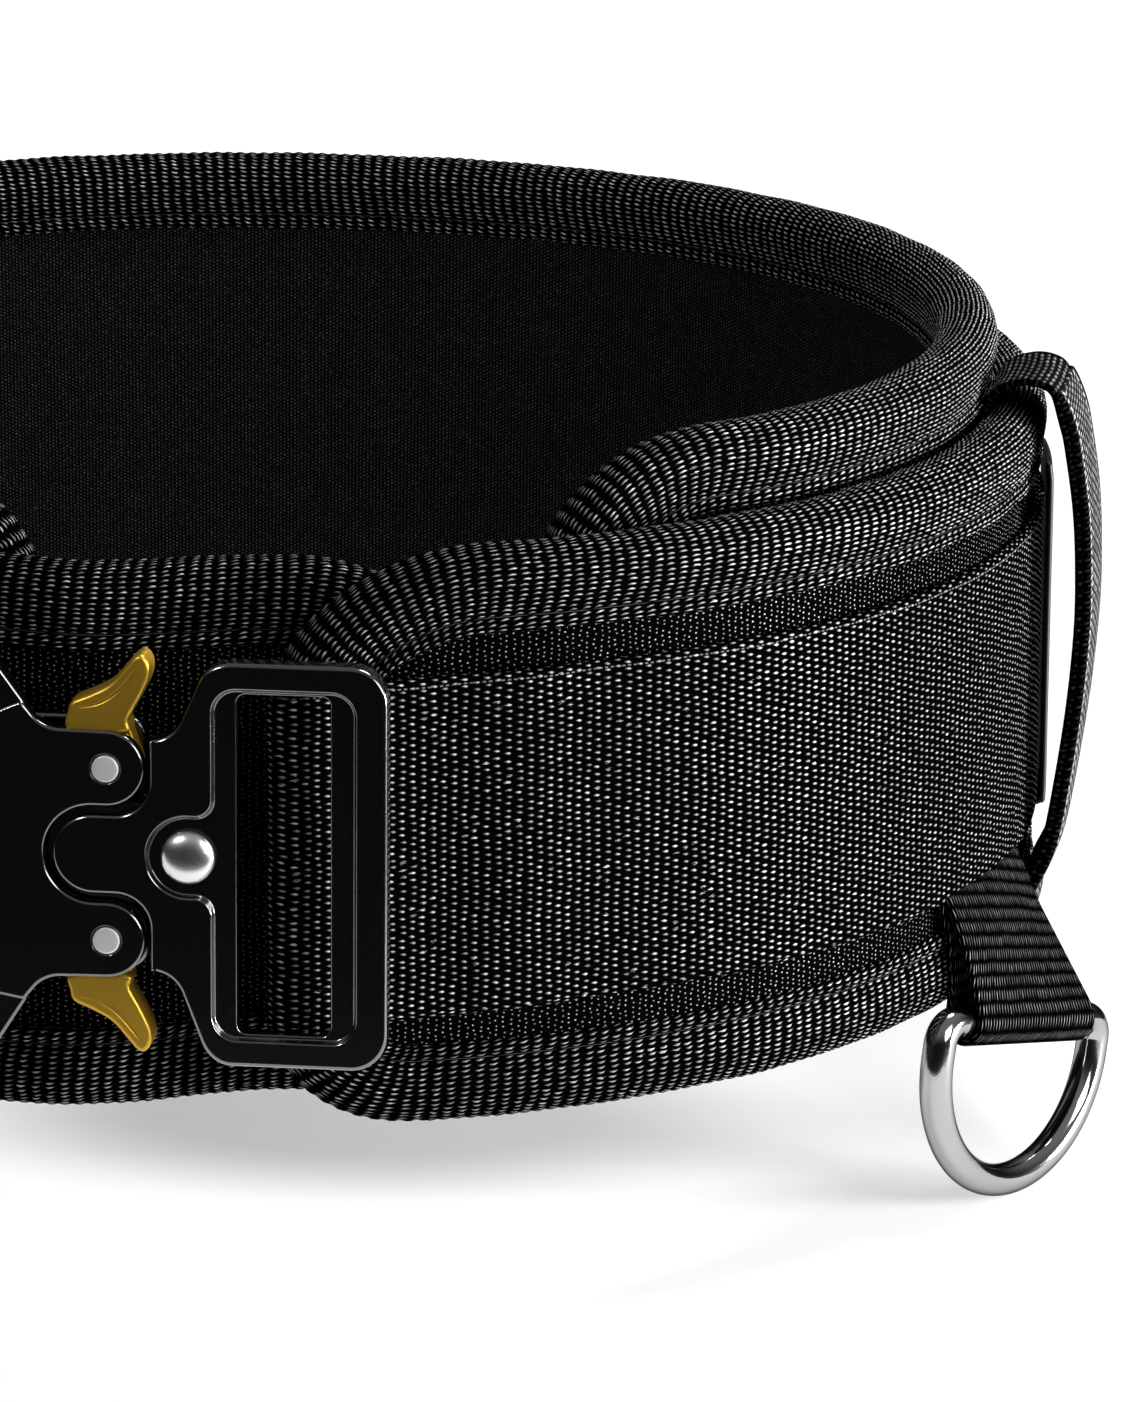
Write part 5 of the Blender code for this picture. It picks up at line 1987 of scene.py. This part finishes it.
@dataclass
class Studio:
    """Pale floor, soft light and the camera at the photograph's angle."""

    floor_z: float = -0.0889
    floor_x: tuple[float, float] = (-0.8, 0.32)
    floor_y: tuple[float, float] = (-0.27, 3.0)
    floor_tone: float = 0.50
    # The floor's glow is painted light: low under the belt as a painted shadow, higher further away.
    glow: tuple[float, float, float] = (0.05, 0.57, 0.88)
    glow_middle: tuple[float, float] = (0.025, -0.020)
    glow_stretch: float = 1.6
    glow_near: tuple[float, float] = (0.035, 0.100)
    glow_far: tuple[float, float] = (0.4, 1.4)
    sky_low: float = 0.012
    sky_high: float = 0.26
    sky_rise: tuple[float, float] = (0.15, 0.75)
    eye: tuple[float, float, float] = (0.20745, -1.32790, 0.33917)
    heading: float = 0.11000
    pitch: float = 0.2570
    roll: float = 0.0088
    focal_pixels: float = 7309.95
    sensor: float = 36.0

    def camera(self) -> None:
        """Place the camera; its lens follows from the focal length in the photograph's pixels."""
        data = bpy.data.cameras.new("camera")
        data.sensor_fit = "AUTO"
        data.sensor_width = self.sensor
        data.lens = self.focal_pixels / max(PHOTO_WIDTH, PHOTO_HEIGHT) * self.sensor
        data.clip_start, data.clip_end = 0.05, 60.0
        camera = linked("camera", data)
        camera.location = self.eye
        level = Euler((math.pi / 2 - self.pitch, 0.0, self.heading)).to_matrix()
        camera.rotation_euler = (level @ Euler((0.0, 0.0, self.roll)).to_matrix()).to_euler()
        bpy.context.scene.camera = camera

    def floor(self) -> None:
        """Lay a pale floor whose glow is painted light, lower under the belt as a painted shadow.

        The glow rises with the distance from a middle, stretched in y, by one smooth step near
        the belt and another far from it.
        """
        (x0, x1), (y0, y1) = self.floor_x, self.floor_y
        corners = [(x, y, self.floor_z) for x, y in ((x0, y0), (x1, y0), (x1, y1), (x0, y1))]
        mesh = bpy.data.meshes.new("floor")
        mesh.from_pydata(corners, [], [(0, 1, 2, 3)])
        plane = linked("floor", mesh)
        net = Net(bpy.data.materials.new("floor_paint_finish"))
        x, y, _ = net.parts(net.place())
        y = (y - self.glow_middle[1]) * self.glow_stretch
        away = ((x - self.glow_middle[0]) ** 2.0 + y ** 2.0).root()
        # Painted shadow: the glow is least under the belt and rises in two steps away from it.
        under, near, far = self.glow
        tone = under + away.step(*self.glow_near) * (near - under)
        tone = tone + away.step(*self.glow_far) * (far - near)
        grey = self.floor_tone
        mesh.materials.append(net.finish(
            Base_Color=(grey, grey, grey, 1.0), Roughness=0.9, Specular_IOR_Level=0.0,
            Emission_Color=net.grey(tone), Emission_Strength=1.0,
        ))

    def softbox(self, name: str, place: Sequence[float], size: tuple[float, float], power: float) -> None:
        """Hang an area light that faces the belt.

        Args:
            name: The light's name.
            place: Where it hangs.
            size: Its width and height.
            power: Its power in watts.
        """
        data = bpy.data.lights.new(name, "AREA")
        data.shape = "RECTANGLE"
        data.size, data.size_y = size
        data.energy = power
        lamp = linked(name, data)
        lamp.location = place
        lamp.rotation_euler = (-Vector(place)).to_track_quat("-Z", "Y").to_euler()

    def sky(self) -> None:
        """Light the room from above: white to the eye, dim at the horizon and brighter overhead."""
        net = Net(bpy.data.worlds.new("room"), "Background")
        height = net.parts(net.node("ShaderNodeTexCoord", {}, {}, "Generated"))[2]
        rise = height.step(*self.sky_rise, self.sky_low, self.sky_high)
        seen = net.node("ShaderNodeLightPath", {}, {}, "Is Camera Ray")
        level = net.node("ShaderNodeMix", {}, {0: seen, 2: rise, 3: 1.0})
        bpy.context.scene.world = net.finish(Color=(1.0, 1.0, 1.0, 1.0), Strength=level)

    def build(self) -> None:
        """Set up the room."""
        bpy.context.scene.view_settings.view_transform = "Standard"
        self.camera()
        self.floor()
        self.sky()
        self.softbox("main_box", (0.57, -0.47, 0.25), (0.34, 0.34), 3.5)
        self.softbox("right_box", (1.60, -0.10, -0.02), (0.45, 0.50), 98.0)
        self.softbox("left_box", (-0.38, -0.62, 0.52), (0.11, 0.11), 2.1)
        self.softbox("top_box", (0.22, 0.10, 0.48), (0.2, 0.16), 2.6)


# The widths of the side strap's two layers, whose weave stops at the edges of the outer face.
ARCH_WIDTH = 0.0228
COVER_WIDTH = ARCH_WIDTH - 0.0006

ROLL = Roll()
CREASES = (ROLL.crease_length, 2.0 * ROLL.rim_length - ROLL.crease_length)
SIDE_STRAP = Woven(
    "side_strap", 0.00100, 0.00300, dash=(0.33, 0.49), ground=0.008, thread=0.17, relief=0.00025,
    warp=0.00012, jitter=0.10, taper=0.1, fade=0.2, loose=0.5, skew=0.18, face=COVER_WIDTH,
    seams=tuple(Seam(at, 0.0015, 0.5, 0.0008, 1.3) for at in (0.0014, 0.0208)),
)
FINISHES = {finish.slot: finish for finish in (
    Woven(
        "webbing", 0.00192, 0.00124, dash=(0.38, 0.24), slant=0.10, ground=0.0005, thread=0.22,
        relief=0.00045, warp=0.00040, jitter=0.20, loose=1.0,
        seams=(Seam(0.0576, 0.0011, 0.6, 0.00024, 0.4),),
    ),
    Woven(
        "binding", ROLL.rib_pitch, 0.00092, dash=(-0.38, 0.27), stagger=0.0, slant=0.55, ground=0.0005,
        thread=0.33, relief=0.00060, warp=0.00026, jitter=0.18, taper=0.60, fade=0.92, curve=1.1,
        loose=0.7, bow=ROLL.bow, middle=ROLL.rim_length, span=ROLL.rim_length - ROLL.crease_length,
        creases=CREASES, seams=tuple(Seam(at, 0.0110, 0.85, 0.00010, 0.12) for at in CREASES),
    ),
    Woven(
        "cover", 0.00122, 0.00090, dash=(0.20, 0.22), ground=0.0006, thread=0.17, relief=0.00012,
        warp=0.00020, jitter=0.36,
    ),
    Woven(
        "lining", 0.00075, 0.00070, dash=(0.40, 0.40), ground=0.0020, thread=0.036, relief=0.00010,
        warp=0.00008, jitter=0.15, gloss=0.0,
    ),
    SIDE_STRAP,
    replace(
        SIDE_STRAP, slot="side_strap_arch", column=0.00110, ground=0.003, thread=0.11, skew=0.0,
        face=ARCH_WIDTH, seams=(),
    ),
    Woven(
        "tab_webbing", 0.00260, 0.00088, dash=(0.46, 0.12), stagger=0.0, slant=0.50, ground=0.0003,
        thread=0.15, relief=0.00024, warp=0.00034, jitter=0.12, taper=0.20, fade=0.60, loose=0.14,
    ),
    Metal(
        "buckle_black", (0.0005, 0.0005, 0.0006), 0.0, 0.17, shine=1.00, grain=4000.0, spread=0.03,
        coat=1.0,
    ),
    Metal("lever_gold", (0.60, 0.360, 0.036), 0.80, 0.36, grain=3200.0),
    Metal("pin_steel", (0.72, 0.72, 0.73), 0.5, 0.40, spread=0.1),
    Metal("rivet_steel", (0.90, 0.90, 0.91), 1.0, 0.28, spread=0.06),
    Metal("ring_chrome", (0.46, 0.46, 0.47), 1.0, 0.11, spread=0.05, edge=0.15),
    Metal("keeper", (0.004, 0.004, 0.0045), 0.0, 0.45, shine=0.20),
)}


@cache
def paint_for(finish: str) -> Material:
    """Return the material of a finish, made once."""
    return FINISHES[finish].make()


def dress(piece: Object, finish: str, body: str, nodes: Sequence[str]) -> None:
    """Give a piece its finish, body and the solids it stands for.

    Args:
        piece: The new object.
        finish: Name of the finish.
        body: The body that it moves with.
        nodes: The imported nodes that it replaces.
    """
    piece.data.materials.clear()
    piece.data.materials.append(paint_for(finish))
    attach(piece, body)
    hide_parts(*nodes)
    LOG.info("%s: %d faces, %s on %s", piece.name, len(piece.data.polygons), finish, body)


def cover_outside(core: Object) -> None:
    """Give the faces that look away from the body the outer cloth.

    Args:
        core: The inner pad's core, whose faces already have the lining.
    """
    count = len(core.data.polygons)
    middle, normal = np.zeros(3 * count), np.zeros(3 * count)
    core.data.polygons.foreach_get("center", middle)
    core.data.polygons.foreach_get("normal", normal)
    away = (middle * normal).reshape(-1, 3)[:, :2].sum(axis=1) > 0.0
    core.data.materials.append(paint_for("cover"))
    core.data.polygons.foreach_set("material_index", away.astype(np.int32))


def main() -> None:
    """Load the frame, build the room and every piece."""
    logging.basicConfig(level=logging.INFO, format="%(name)s %(message)s")
    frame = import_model()
    Studio().build()
    Pad("inner", "lining", 0.55, 0.0780, LOOP.length - 0.0180, outer_cloth=True).build()
    OuterPad("outer", "cover", 0.50, 0.0310, LOOP.length + 0.0584).build()
    WideStrap().build()
    Buckle().build()
    for side in Side:
        SideParts(side).build()
    Buckle.paint_bars(frame)


if __name__ == "__main__":
    main()
